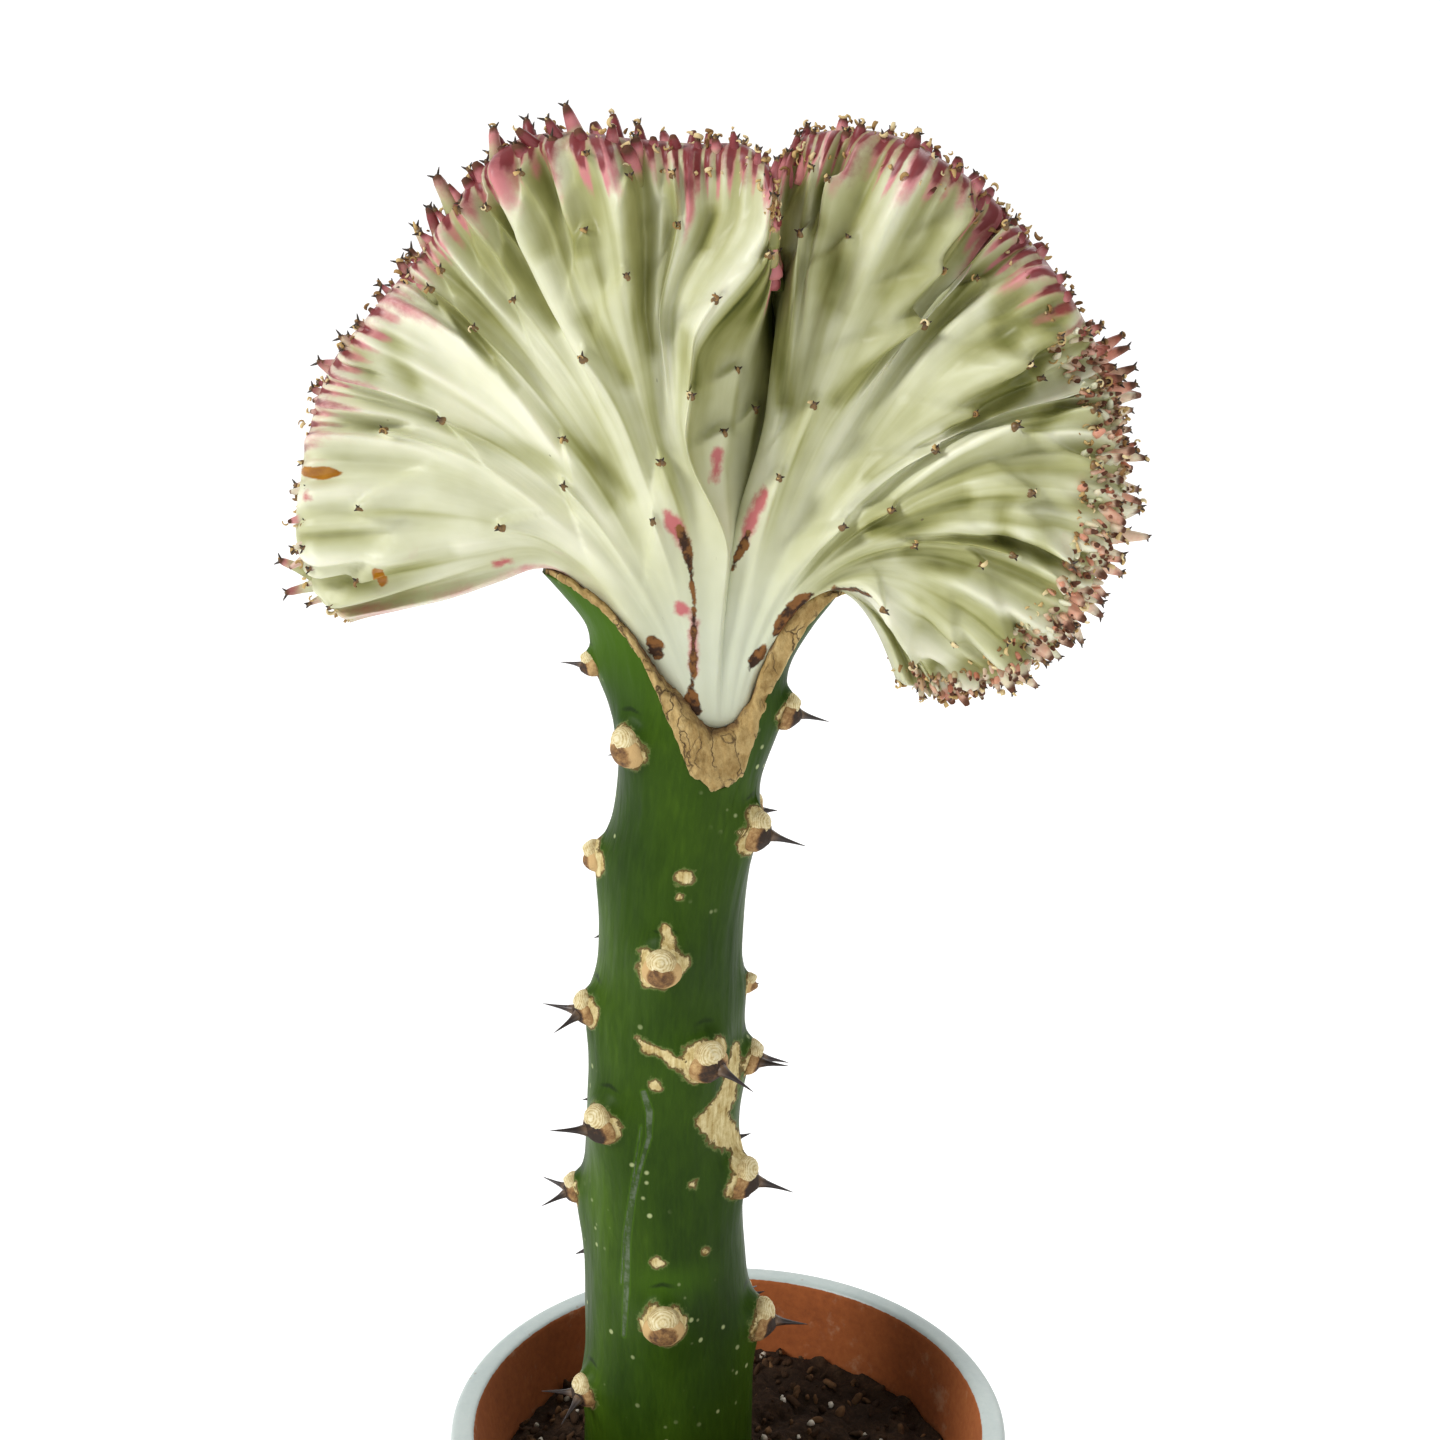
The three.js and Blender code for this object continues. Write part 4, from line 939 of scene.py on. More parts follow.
def fan_normal(u, v):
    """The way to the front, square to the sheet on its open face"""
    step = 0.002
    u, v = np.broadcast_arrays(np.asarray(u, float), np.asarray(v, float))
    along = fan_middle(np.minimum(u + step, 1), v) - fan_middle(np.maximum(u - step, 0), v)
    out = fan_middle(u, np.minimum(v + step, 1)) - fan_middle(u, np.maximum(v - step, 0))
    square = unit(np.cross(along, out))
    share = (smooth(0.58, 0.9, v) * openness(u))[..., None]
    return unit(mix(np.array([0.0, -1.0, 0.0]), square, share))


def girth(v):
    """How long the sheet's section is at a share of the way out"""
    return mix(12, 350, np.maximum(v, 0) ** 1.9)


def rib_drift(u):
    """The ribs stand a little unevenly"""
    return u + 0.0032 * noise(u * 29, seed=4) + 0.0065 * noise(u * 10, seed=5)


def ribs_at(u, v, face):
    """How high the ribs stand in mm, and how far up its rib a point is, from 0 to 1"""
    at = rib_drift(u) + (0 if face > 0 else 0.5 / RIBS)
    total = np.zeros(np.shape(at))
    most = np.full(np.shape(at), 0.25)
    for level, (share, tall, start, full, fade, gone, left) in enumerate(RIB_LEVELS):
        t = at * RIBS * share
        rib = np.round(t)
        own = cell_value(np.stack(np.broadcast_arrays(rib, level, face), -1), 60)
        other = cell_value(np.stack(np.broadcast_arrays(rib, level, face), -1), 61)
        side = t - rib
        side = side + (0.25 + 0.45 * other) * (0.25 - side * side)
        shape = (0.5 + 0.5 * np.cos(2 * math.pi * np.clip(side, -0.5, 0.5))) ** 1.15
        shift = 0.07 * own
        grown = smooth(start + shift, full + shift, v)
        kept = 1 - (1 - left) * smooth(fade + shift, gone + shift, v)
        height = tall * grown * kept * (1 + 0.5 * own)
        total = total + height * shape
        most = most + height
    return total, total / most


def half_thickness(u, v):
    inner = mix(ROOT_THICK, MID_THICK, smooth(0, 0.6, v))
    full = mix(inner, EDGE_THICK, smooth(0.45, 1, v))
    rim = np.minimum(0.5, 1.1 * full / girth(v))
    blunt = mix(4.5, 2, smooth(0.4, 0.8, v))

    def round_off(share, power):
        return (1 - (1 - np.minimum(share, 1)) ** power) ** (1 / power)

    sides = round_off(np.minimum(u, 1 - u) / rim, blunt)
    ends = round_off(v / 0.07, 4.5) * round_off((1 - v) / 0.03, 2.0)
    steep = mix(1, 1.2, smooth(0.4, 0.8, v) * (1 - openness(u)))
    return full * steep * sides * ends, sides * ends


def fan_places(spots):
    """Where on the sheet the front shows each of the spots, as u and v"""
    u, v = np.meshgrid(np.linspace(0.01, 0.99, 500), np.linspace(0.22, 0.97, 150), indexing="ij")
    p = fan_middle(u, v)
    found = []
    for x, z, *_ in spots:
        gap = np.hypot(p[..., 0] - x, p[..., 2] - z) + 0.1 * np.maximum(p[..., 1] + 3, 0)
        i = np.unravel_index(np.argmin(gap), gap.shape)
        found.append((u[i], v[i]))
    return found


def fan_knobs():
    """The pointed knobs of both faces, as u, v, face and size"""
    rng = np.random.default_rng(5)
    places = fan_places(FRONT_BUMPS)
    made = [(*place, 1, bump[2]) for place, bump in zip(places, FRONT_BUMPS)]
    for k in range(BACK_BUMPS):
        u = (k + rng.uniform(0.15, 0.85)) / BACK_BUMPS
        v = rng.uniform(0.36, 0.93)
        if 0.03 < u < 0.97:
            made.append((u, v, -1, rng.uniform(0.8, 1.3)))
    return made


KNOBS_ON_FAN = fan_knobs()


def knob_ridges(u, v, face):
    """The pleat that runs from each knob towards the root: its height, hook, edge line and the green
    furrow on its steep side. The edge line and the furrow's green are partly the skin's colour and
    partly painted shade of the step.
    """
    rise, hook, line, ditch_shade = (np.zeros(np.shape(u)) for _ in range(4))
    for at, out, knob_face, size in KNOBS_ON_FAN:
        if knob_face != face:
            continue
        hand = -1 if at < 0.12 else 1
        across = (u - at) * girth(v) * hand  # above 0 on the pleat's steep side
        down = (out - v) * SHEET_LENGTH
        far = np.maximum(down, 0)
        below = down - np.where(across > 0, 0.8, 1.5) * np.maximum(np.abs(across) - 0.4, 0)
        above = np.exp(-((below / 1.5) ** 2))
        wide = np.where(across > 0, 0.8 + 0.03 * far, 3.8 + 0.1 * far)
        tail = np.where(below > 0, np.exp(-below / 17), above) * np.exp(-((across / wide) ** 2))
        hump = np.where(below > 0, np.exp(-((below / 4.0) ** 2)), above)
        hump = hump * np.exp(-((across / 1.3) ** 2))
        low = smooth(-1, 6, down - 0.7 * across) * np.exp(-far / 15) * smooth(0.25, 0.45, v)
        trough = low * np.exp(-(((across - 2.3) / (1.7 + 0.05 * far)) ** 2)) * size
        rise += size * (2.2 * tail + 1.2 * size * hump) * smooth(0.2, 0.45, v) - 0.45 * trough
        hook += size**1.5 * hump
        ditch_shade = np.maximum(ditch_shade, trough)
        # The thin line on the steep edge, used for a pink tint and for painted shade of the step
        line = np.maximum(line, low * np.exp(-(((across - 0.45) / 0.35) ** 2)))
    return rise, hook, line, ditch_shade


def furrow_depth(middle, face):
    """How deep in one of the front's green furrows the sheet is, from 0 to 0.5"""
    depth = np.zeros(middle.shape[:-1])
    if face > 0:
        x, z = middle[..., 0], middle[..., 2]
        for strength, line in FURROWS:
            depth = np.maximum(depth, strength * smooth(1.8, -1.0, distance_to_line(x, z, line)))
    return depth


def fan_skin(u, v, face):
    """A point of the fan's skin and the numbers that its material reads"""
    half, round_off = half_thickness(u, v)
    ribs, crest = ribs_at(u, v, face)
    ridge, hook, line, ditch_shade = knob_ridges(u, v, face)
    height = ribs * mix(0.4, 1, openness(u))
    middle = fan_middle(u, v)
    broad = 0.45 * noise(u * 30, v * 5, face, seed=6) * smooth(0.4, 0.7, v)
    broad += 0.12 * layered(u * 140, v * 14, face, 2, seed=7) * smooth(0.6, 0.8, v)
    low = smooth(0.1, 0.3, v)
    broad += 0.5 * noise(middle[..., 0] / 9, middle[..., 2] / 16, face, seed=8) * low
    furrow = furrow_depth(middle, face)
    broad -= 2.2 * furrow
    rise = half + round_off * (height + broad + ridge)
    skin = middle + face * rise[..., None] * fan_normal(u, v)
    skin = skin + (0.9 * round_off * hook)[..., None] * fan_outward(u, v)
    return skin, (crest, line, ditch_shade, furrow)


def fan_colors(points, u, v, face, relief):
    """Numbers for the material: how green, pink and maroon, and how far outside each mark"""
    crest, line, ditch_shade, streak = relief
    x, z = points[..., 0], points[..., 2]
    right = smooth(-10, 45, x)
    # Greener in the rib furrows and paler on the crests: partly the skin's own colour, partly painted
    # shade in the furrows
    furrow = 1 - crest
    patch = layered(u * 22, v * 2.5, face, 2, seed=21)
    deep = smooth(0.25, 0.75, v) * mix(0.75, 1.0, right)
    patch = patch * smooth(0.3, 0.6, v)
    green = 0.25 - 0.08 * right + 0.12 * patch
    green += deep * (mix(0.22, 0.34, right) * furrow**1.5 + 0.08 * patch)
    for amount, outwards, along in GREEN_PARTS:
        shares = [smooth(*ends, v) for ends in outwards] + [smooth(*ends, u) for ends in along]
        green += amount * np.prod(shares, axis=0)
    # Painted shade: extra green in the hollow behind the fold's lip, more of it towards the growing edge
    hollow = np.where(u < 0.485, smooth(0.432, 0.452, u), smooth(0.56, 0.5, u))
    hollow_shade = 0.46 * hollow * smooth(0.52, 0.8, v)
    green -= 0.08 * smooth(-25, -60, x) + 0.16 * crest * smooth(0.4, 0.8, v)
    edge = smooth(0.06, 0.12, u) * (1 - 0.8 * smooth(0.7, 0.76, u))
    reach = edge * mix(0.65, 1, smooth(0.22, 0.3, u))
    wave = 0.5 + 0.5 * noise(u * 120, face, seed=31)
    start = mix(0.885, 0.975, wave)
    pink = reach * smooth(start - 0.06, start + 0.05, v) * mix(0.05, 1, smooth(0.4, 0.92, crest))
    # The thin line on each pleat's steep edge: pink near the root is the skin's tint; the darker green
    # it adds further out is painted shade of the step
    pink = np.maximum(pink, 0.3 * line * smooth(0.65, 0.45, v))
    # Green beside each pleat's steep side: partly the skin's own green, partly painted shade of the step
    green += (mix(0.07, 0.2, right) if face > 0 else 0.32) * np.minimum(ditch_shade, 1)
    green += 0.3 * line * smooth(0.35, 0.5, v) + mix(1.05, 1.3, right) * streak
    low_left = smooth(0.022, 0.008, u) * smooth(0.3, 0.5, v)
    pink = np.maximum(pink, mix(0.15, 0.6, 0.5 + 0.5 * noise(v * 14, seed=33)) * low_left)
    blush = smooth(0.12, 0.03, u) * smooth(0.3, 0.5, v)
    blush = blush * smooth(0.1, 0.5, noise(u * 60, v * 6, face, seed=34))
    pink = np.maximum(pink, 0.16 * blush)
    maroon = reach * smooth(start, start + 0.06, v) * mix(0.4, 1, crest)
    # Maroon fingers that point down from the growing edge, with pink below and between them
    flank = smooth(0.33, 0.24, u)
    finger = 0.5 + 0.5 * np.cos(u * FINGER_TURNS + 3 * noise(u * 60, face, seed=32))
    finger = smooth(0.2, 0.9, finger) * (0.65 + 0.35 * noise(u * 75, face, seed=35))
    low = mix(0.988, 0.935 + 0.025 * flank, finger)
    maroon = np.maximum(0.7 * maroon, 1.05 * edge * smooth(low, low + 0.025, v))
    pink = np.maximum(pink, 0.75 * edge * smooth(low - 0.035, low, v) * mix(0.4, 1, finger))
    # More green in the rib furrows near the growing edge, partly painted shade
    green += 0.34 * smooth(0.74, 0.92, v) * furrow**1.4
    green = np.where(green > 0.5, 0.5 + 0.3 * np.tanh((green - 0.5) / 0.3), green) + hollow_shade
    if face < 0:
        marks = np.full((*x.shape, 3), FAR)
    else:
        marks = np.stack([
            np.min([distance_to_line(x, z, scar) for scar in scars], axis=0)
            for scars in (RED_SCARS, BROWN_SCARS, RESIN)
        ], axis=-1)
    tone = np.stack([green, pink, maroon], axis=-1)
    growth = np.stack([u * GROWTH[0], v * GROWTH[1], np.full_like(u, face)], axis=-1)
    return {"tone": tone, "marks": marks, "growth": growth, "tip": np.zeros_like(u)}


FAN_COLUMNS = 880


def fan_rows():
    """Shares of the way out, with how many columns each row steps over"""
    foot = [0, 0.003, 0.01, 0.022, 0.038, 0.055, 0.075]
    low = np.arange(0.1, 0.3, 0.025)
    middle = np.arange(0.3, 0.56, 0.014)
    outer = np.append(np.arange(0.56, 0.955, 0.0095), [0.965, 0.975, 0.984, 0.991, 0.997, 1.0])
    rows = [(v, 8) for v in foot] + [(v, 4) for v in low] + [(v, 2) for v in middle]
    return rows + [(v, 1) for v in outer]


def fan_columns():
    """Shares along the edge, closer together at its two ends, where the sheet is rounded"""
    ends = 24
    width = 0.012
    curve = width * (1 - np.cos(np.arange(ends) / ends * math.pi / 2))
    inner = np.linspace(width, 1 - width, FAN_COLUMNS + 1 - 2 * ends)
    return np.concatenate([curve, inner, 1 - curve[::-1]])


def make_fan_sheet(material):
    columns = fan_columns()
    rows = fan_rows()
    last = len(rows) - 1
    u, v = np.meshgrid(columns, [row[0] for row in rows], indexing="ij")
    index = {}
    heap = []
    keep = {key: [] for key in ("tone", "marks", "growth", "tip")}
    count = 0
    for face in (1, -1):
        points, relief = fan_skin(u, v, face)
        values = fan_colors(points, u, v, face, relief)
        for r, (_, step) in enumerate(rows):
            picked = np.arange(0, FAN_COLUMNS + 1, step)
            numbers = np.arange(count, count + len(picked))
            if face < 0:
                shared = (picked == 0) | (picked == FAN_COLUMNS)
                if r in (0, last):
                    shared[:] = True
                fresh = ~shared
                numbers = np.where(shared, index[1, r], 0)
                numbers[fresh] = np.arange(count, count + fresh.sum())
                picked = picked[fresh]
            index[face, r] = numbers
            heap.append(points[picked, r])
            for key in keep:
                keep[key].append(values[key][picked, r])
            count += len(picked)
    triangles = []
    for face in (1, -1):
        for r in range(last):
            lower, upper = index[face, r], index[face, r + 1]
            ratio = (len(upper) - 1) // (len(lower) - 1)
            n = len(lower) - 1
            if ratio == 1:
                strip = quads(lower[:n], lower[1:], upper[1:], upper[:n])
            else:
                a, b = lower[:n], lower[1:]
                low, mid, high = upper[:-1:2], upper[1::2], upper[2::2]
                strip = [np.stack(row, 1) for row in ((a, mid, low), (a, b, mid), (b, high, mid))]
            strip = np.concatenate(strip)
            triangles.append(strip if face > 0 else strip[:, ::-1])
    values = {key: np.concatenate(parts) for key, parts in keep.items()}
    points = np.concatenate(heap)
    return make_piece("fan_sheet", points, np.concatenate(triangles), material, *FAN, values)


def tone_at(u, v, face):
    """The skin and its material numbers at one point"""
    u, v = np.array([float(u)]), np.array([float(v)])
    points, relief = fan_skin(u, v, face)
    values = fan_colors(points, u, v, face, relief)
    return points[0], {key: number[0] for key, number in values.items()}


tooth_length_at = station_curve(TOOTH_LENGTHS)


def add_spines(heap, tip, aim, side, length, rng):
    """The short dark spines at the end of a tooth or knob, spread to its sides"""
    pad = horn(tip - 0.5 * aim, aim, side, 0.8, [0.36, 0.42, 0.36, 0.16], sides=6, flat=0.8)
    heap.add(pad[0], pad[1], tip=0.2 * pad[2])
    for hand in (-1, 1):
        way = unit(aim + hand * side * rng.uniform(0.6, 1.2) + rng.normal(0, 0.2, 3))
        long = length * rng.uniform(0.6, 1.2)
        body = horn(tip - 0.3 * aim, way, aim, long + 0.4, [0.27, 0.24, 0.17, 0.06], sides=5)
        heap.add(body[0], body[1], tip=body[2])


def add_flake(heap, place, aim, size, rng):
    across = unit(rng.normal(0, 1, 3))
    up = unit(np.cross(across, aim) + 1e-6)
    points, faces = flake(place, across, up, size, rng.uniform(2.4, 4.6), rng)
    heap.add(points, faces, shade=rng.uniform(0, 1))


def add_tooth(teeth, spines, flakes, u, v, face, length, width, rng, lean=0.15, dry=0.5, flat=0.85):
    """One tooth of the rim, grown from the skin near the edge"""
    normal = face * fan_normal(u, v)
    outward = fan_outward(u, v)
    middle = fan_middle(u, v)
    half, _ = half_thickness(np.array([u]), np.array([v]))
    root = middle + normal * (half[0] * 0.75)
    side = unit(np.cross(normal, outward))
    aim = unit(outward + lean * normal + rng.normal(0, 0.1, 3))
    sunk = 2.2
    bend = normal * rng.uniform(-0.05, 0.2) * length + side * rng.normal(0, 0.08) * length
    top = float(smooth(0.24, 0.32, u) * (1 - smooth(0.7, 0.76, u)) * openness(u))
    slim = np.array([1.8, 1.75, 1.62, 1.36, 1.08, 0.84, 0.66, 0.4])
    stout = np.array([2.1, 2.1, 2.05, 1.9, 1.7, 1.5, 1.25, 0.8])
    radii = width * mix(slim, stout, top)
    points, faces, share = horn(root - aim * sunk, aim, side, length + sunk, radii, 8, flat, bend)
    _, values = tone_at(u, min(v, 0.985), face)
    grown = np.clip((share * (length + sunk) - sunk) / length, 0, 1)
    top = smooth(0.12, 0.2, u) * (1 - smooth(0.74, 0.8, u))
    green, pink, maroon = values["tone"]
    green = mix(green, 0.2, smooth(0.72, 0.78, u))
    redder = mix(rng.uniform(0.0, 0.6), 0.85, top)
    tone = np.stack([
        mix(green, mix(0.15, 0.4, top), grown),
        np.maximum(pink, mix(rng.uniform(0.15, 0.6), 0.75, top) * smooth(0.0, 0.4, grown)),
        np.maximum(maroon, redder * smooth(0.3, 0.95, grown)),
    ], axis=-1)
    growth = np.broadcast_to(values["growth"], (len(points), 3)) + np.outer(grown, [0, 6, 0])
    tip_share = np.clip(grown + rng.uniform(-0.12, 0.06), 0, 1)
    teeth.add(points, faces, tone=tone, marks=(FAR, FAR, FAR), growth=growth, tip=tip_share)
    tip = points[-1]
    if rng.random() < 0.55:
        add_spines(spines, tip, aim, side, 1.2 if 0.18 < u < 0.36 else 0.75, rng)
    if rng.random() < dry:
        add_flake(flakes, tip + 0.2 * aim, aim, rng.uniform(0.45, 0.9), rng)


def add_horns(teeth, spines, flakes, rng):
    places = fan_places([row[2:] for row in HORNS])
    for (tip_x, tip_z, root_x, root_z, radius), (u, v) in zip(HORNS, places):
        middle = fan_middle(u, v)
        normal = fan_normal(u, v)
        root = np.array([root_x, middle[1], root_z]) + normal * rng.uniform(0.2, 1.2)
        tip = np.array([tip_x, root[1] - rng.uniform(-0.5, 1.5), tip_z])
        way = tip - root
        side = unit(np.cross(way, [0, 1, 0]))
        long = np.linalg.norm(way)
        bend = side * long * rng.uniform(-0.22, 0.05)
        start = root - 0.35 * way
        aim = tip - start - bend
        radii = radius * np.array([1.7, 1.65, 1.5, 1.3, 1.12, 1.0, 0.92, 0.85, 0.6])
        points, faces, share = horn(start, aim, side, np.linalg.norm(aim), radii, 10, 0.8, bend)
        _, values = tone_at(u, min(v, 0.985), 1)
        grown = smooth(0.3, 1.0, share)
        pink = mix(values["tone"][1], rng.uniform(0.3, 0.7), grown)
        green = mix(values["tone"][0], 0.45, grown)
        tone = np.stack([green, pink, rng.uniform(0.3, 0.9) * grown], axis=-1)
        growth = values["growth"] + np.outer(grown, [0, 6, 0])
        teeth.add(points, faces, tone=tone, marks=(FAR, FAR, FAR), growth=growth, tip=share**2 * 0.95)
        add_spines(spines, tip, unit(way), side, 1.1 * radius + 0.3, rng)
        if rng.random() < 0.5:
            add_flake(flakes, tip, unit(way), rng.uniform(0.5, 0.8), rng)


def make_rim(material, spine_skin, flake_skin):
    """Teeth in three staggered rows, longer fingers at both sides, spines and dry leaf rests"""
    rng = np.random.default_rng(17)
    teeth, spines, flakes = Heap(), Heap(), Heap()
    rows = [(0.0, 0.955, 1, 1.0), (0.5, 0.955, -1, 1.0), (0.25, 0.985, 1, 0.8), (0.75, 0.985, -1, 0.8)]
    for offset, v, face, size in rows:
        for k in range(RIBS):
            u = (k + offset + rng.uniform(-0.12, 0.12)) / RIBS
            u -= rib_drift(u) - u
            if not 0.006 < u < 0.994:
                continue
            factor = float(tooth_length_at(u)[0])
            length = 2.5 * size * factor * rng.uniform(0.7, 1.3) + 1.1
            width = size * rng.uniform(0.75, 1.05)
            out = v + rng.uniform(-0.012, 0.008)
            add_tooth(teeth, spines, flakes, u, out, face, length, width, rng, 0.25, 0.6)
    add_horns(teeth, spines, flakes, rng)
    for low, high, count, long, face in FINGER_ROWS:
        for k in range(count):
            u = mix(low, high, (k + rng.uniform(0.15, 0.85)) / count)
            v = rng.uniform(0.955, 0.985)
            length = long * rng.uniform(0.7, 1.2)
            lean = rng.uniform(0.05, 0.7)
            add_tooth(teeth, spines, flakes, u, v, face, length, 1.2, rng, lean, 0.35, 1.0)
    # Dry rests crowded into the growing edge
    for low, high, count, deep in DRY_CROWDS:
        for _ in range(count):
            u = rng.uniform(low, high)
            v = rng.uniform(deep, 1.0)
            spread = rng.uniform(-1, 1)
            outward = fan_outward(u, 0.98)
            if v < 0.965:
                place, _ = fan_skin(np.array([u]), np.array([v]), 1)
                place = place[0] - 0.2 * fan_normal(u, v)
            else:
                place = fan_middle(u, v) + fan_normal(u, 0.98) * spread * (EDGE_THICK + 0.8)
                place = place + outward * rng.uniform(-0.2, 2.0)
            add_flake(flakes, place, outward, rng.uniform(0.35, 0.9), rng)
    # Coral crumbs where the growing edge at the right faces the front
    for _ in range(CORAL_CRUMBS):
        u = rng.uniform(0.735, 0.985)
        v = 1 - 0.055 * rng.random() ** 1.5
        skin, values = tone_at(u, v, 1)
        normal = fan_normal(u, v)
        outward = fan_outward(u, v)
        aim = unit(normal + outward * rng.uniform(0.2, 1.2) + rng.normal(0, 0.4, 3))
        size = rng.uniform(0.35, 0.8)
        radii = size * np.array([0.9, 1.0, 0.85, 0.7, 0.4])
        long = rng.uniform(1.2, 2.4)
        points, faces, share = horn(skin - 0.5 * aim, aim, outward, long, radii, 7, 0.8)
        tone = (rng.uniform(0.1, 0.5), rng.uniform(0.1, 0.7), rng.uniform(0.0, 0.6))
        growth = values["growth"] + rng.uniform(-2, 2, 3)
        dry = share * rng.uniform(0.4, 1.4)
        teeth.add(points, faces, tone=tone, marks=(FAR, FAR, FAR), growth=growth, tip=dry)
    teeth.piece("fan_teeth", material, *FAN)
    spines.piece("fan_spines", spine_skin, *FAN)
    flakes.piece("fan_dry_leaves", flake_skin, *FAN)


def make_fan_knobs(spine_skin, flake_skin):
    """The dry end of each knob: a brown pad, two short spines and often a curled leaf rest"""
    rng = np.random.default_rng(29)
    spines, flakes = Heap(), Heap()
    for u, v, face, size in KNOBS_ON_FAN:
        top = np.linspace(v - 0.012, v + 0.012, 13)
        skin, _ = fan_skin(np.full(13, u), top, face)
        outward = fan_outward(u, v)
        normal = face * fan_normal(u, v)
        tip = skin[np.argmax(skin @ (outward + 0.8 * normal))]
        side = unit(np.cross(normal, outward))
        aim = unit(outward + 0.55 * normal + side * rng.normal(0, 0.12))
        radii = size * np.array([0.5, 0.56, 0.5, 0.38, 0.2])
        pad = horn(tip - 0.9 * aim, aim, side, 1.2, radii, 8, 0.6)
        spines.add(pad[0], pad[1], tip=0.25 * pad[2])
        add_spines(spines, tip + 0.2 * aim, aim, side, 0.6 * size, rng)
        if rng.random() < 0.7:
            add_flake(flakes, tip + 0.3 * side + 0.3 * normal, aim, rng.uniform(0.5, 0.85), rng)
    spines.piece("fan_knob_spines", spine_skin, *FAN)
    flakes.piece("fan_knob_leaves", flake_skin, *FAN)


# Stem: forked, knobbly and thorny

stem_at = station_curve(STEM_STATIONS)
notch_at = station_curve(NOTCH)


def stem_knobs():
    """Knobs of the whole stem, as turn, height, size, spines and scab"""
    rng = np.random.default_rng(7)
    knobs = [(math.radians(turn), *row) for turn, *row in FRONT_KNOBS]
    for k in range(BACK_KNOBS["count"]):
        turn = BACK_KNOBS["turns"][k % 3] + BACK_KNOBS["wander"] * rng.uniform(-0.5, 0.5)
        z = BACK_KNOBS["low"] + BACK_KNOBS["rise"] * (k + rng.uniform(0, 0.4))
        knobs.append((math.radians(turn), z, rng.uniform(0.9, 1.2), 2, rng.uniform(0.1, 1.4)))
    return knobs


STEM_KNOBS = stem_knobs()


def stem_swelling(turn, z, half_width):
    total = np.zeros(np.shape(turn))
    for knob_turn, knob_z, size, _, _ in STEM_KNOBS:
        around = 2 * half_width * np.sin(np.abs(turn - knob_turn) / 2)
        up = z - knob_z
        tall = np.where(up > 0, KNOB["above"], KNOB["below"])
        total += KNOB["swell"] * size * np.exp(-((around / KNOB["around"]) ** 2) - (up / tall) ** 2)
        bulge = KNOB["radius"] * size
        gap = np.hypot(around, up / 1.15) / bulge
        total += 1.5 * size * smooth(1.25, 0.35, gap)
    return total * smooth(STEM["plain_top"], STEM["plain_top"] + 12, z)


def stem_point(turn, z):
    """A point of the stem's skin. The turn is 0 at the front and grows towards +X."""
    x, half_width, half_depth = np.moveaxis(stem_at(z), -1, 0)
    swell = stem_swelling(turn, z, half_width)
    swell += 0.12 * layered(turn * 5, z * 0.06, 0, 3, seed=12) * smooth(80, 100, z)
    px = x + (half_width + swell) * np.sin(turn)
    py = -(half_depth + swell) * np.cos(turn)
    return np.stack([px, py, z + np.zeros_like(px)], axis=-1)


def plain_stem_x(turn, z):
    x, half_width, _ = np.moveaxis(stem_at(z), -1, 0)
    return x + (half_width + stem_swelling(turn, z, half_width)) * np.sin(turn)


def fork_shares(count):
    """Where the columns end on the fork, spread evenly along the cut"""
    across = 2.0
    line = np.array(NOTCH, float) * [across, 1]
    fine = np.linspace(line[0, 0], line[-1, 0], 2000) / across
    heights = notch_at(fine)[..., 0]
    steps = np.hypot(np.diff(fine) * across, np.diff(heights))
    length = np.concatenate([[0], np.cumsum(steps)])
    x = np.interp((np.arange(count) + 0.5) / count * length[-1], length, fine)
    centre, half_width, _ = np.moveaxis(stem_at(notch_at(x)[..., 0]), -1, 0)
    return np.clip((x - centre) / half_width, -0.99, 0.99)


def fork_top(turn):
    """The height at which the skin meets the cut"""
    top = np.full(np.shape(turn), 240.0)
    for _ in range(14):
        top = notch_at(plain_stem_x(turn, top))[..., 0]
    return top


STEM_COLUMNS = 300
STEM_ROWS = 300
SCRATCHES = [
    [[-14.8, 166.2, 0.5], [-13.8, 162.8, 0.6], [-13.9, 157.9, 0.4], [-15.5, 152.1, 0.3],
     [-16.8, 146.0, 0.35], [-17.9, 137.2, 0.4], [-18.3, 127.4, 0.5], [-18.9, 117.8, 0.3]],
    [[-15.3, 160.0, 0.1], [-16.6, 151.0, 0.15], [-18.6, 138.0, 0.15], [-19.3, 128.0, 0.1]],
]
BIG_SCAB = [
    [1.2, 171.4, 0.9], [0.8, 167.0, 1.3], [-0.6, 162.5, 2.1], [-2.6, 159.6, 2.8], [-1.6, 156.6, 2.2],
    [1.0, 152.5, 1.2], [2.2, 148.5, 1.0],
]
TAIL_SCAB = [[-15.9, 176.2, 0.3], [-14.2, 174.8, 0.9], [-11.2, 173.8, 0.8], [-8.0, 172.0, 1.4]]
PLUME_SCAB = [[-10.6, 197.0, 0.8], [-10.3, 194.6, 1.2], [-10.6, 191.0, 1.4]]
SMALL_SCABS = [
    [[-7.8, 206.1, 1.1], [-7.0, 206.1, 1.2]], [[-8.4, 202.2, 0.5], [-8.1, 202.2, 0.5]],
    [[-13.2, 167.8, 0.9], [-12.8, 167.8, 0.9]], [[-6.5, 148.1, 0.6], [-6.2, 148.1, 0.6]],
    [[-12.8, 133.6, 0.7], [-11.8, 133.3, 0.7]], [[-4.2, 134.7, 0.4], [-3.6, 134.3, 0.4]],
    [[8.2, 152.0, 0.5], [8.4, 151.6, 0.5]],
]


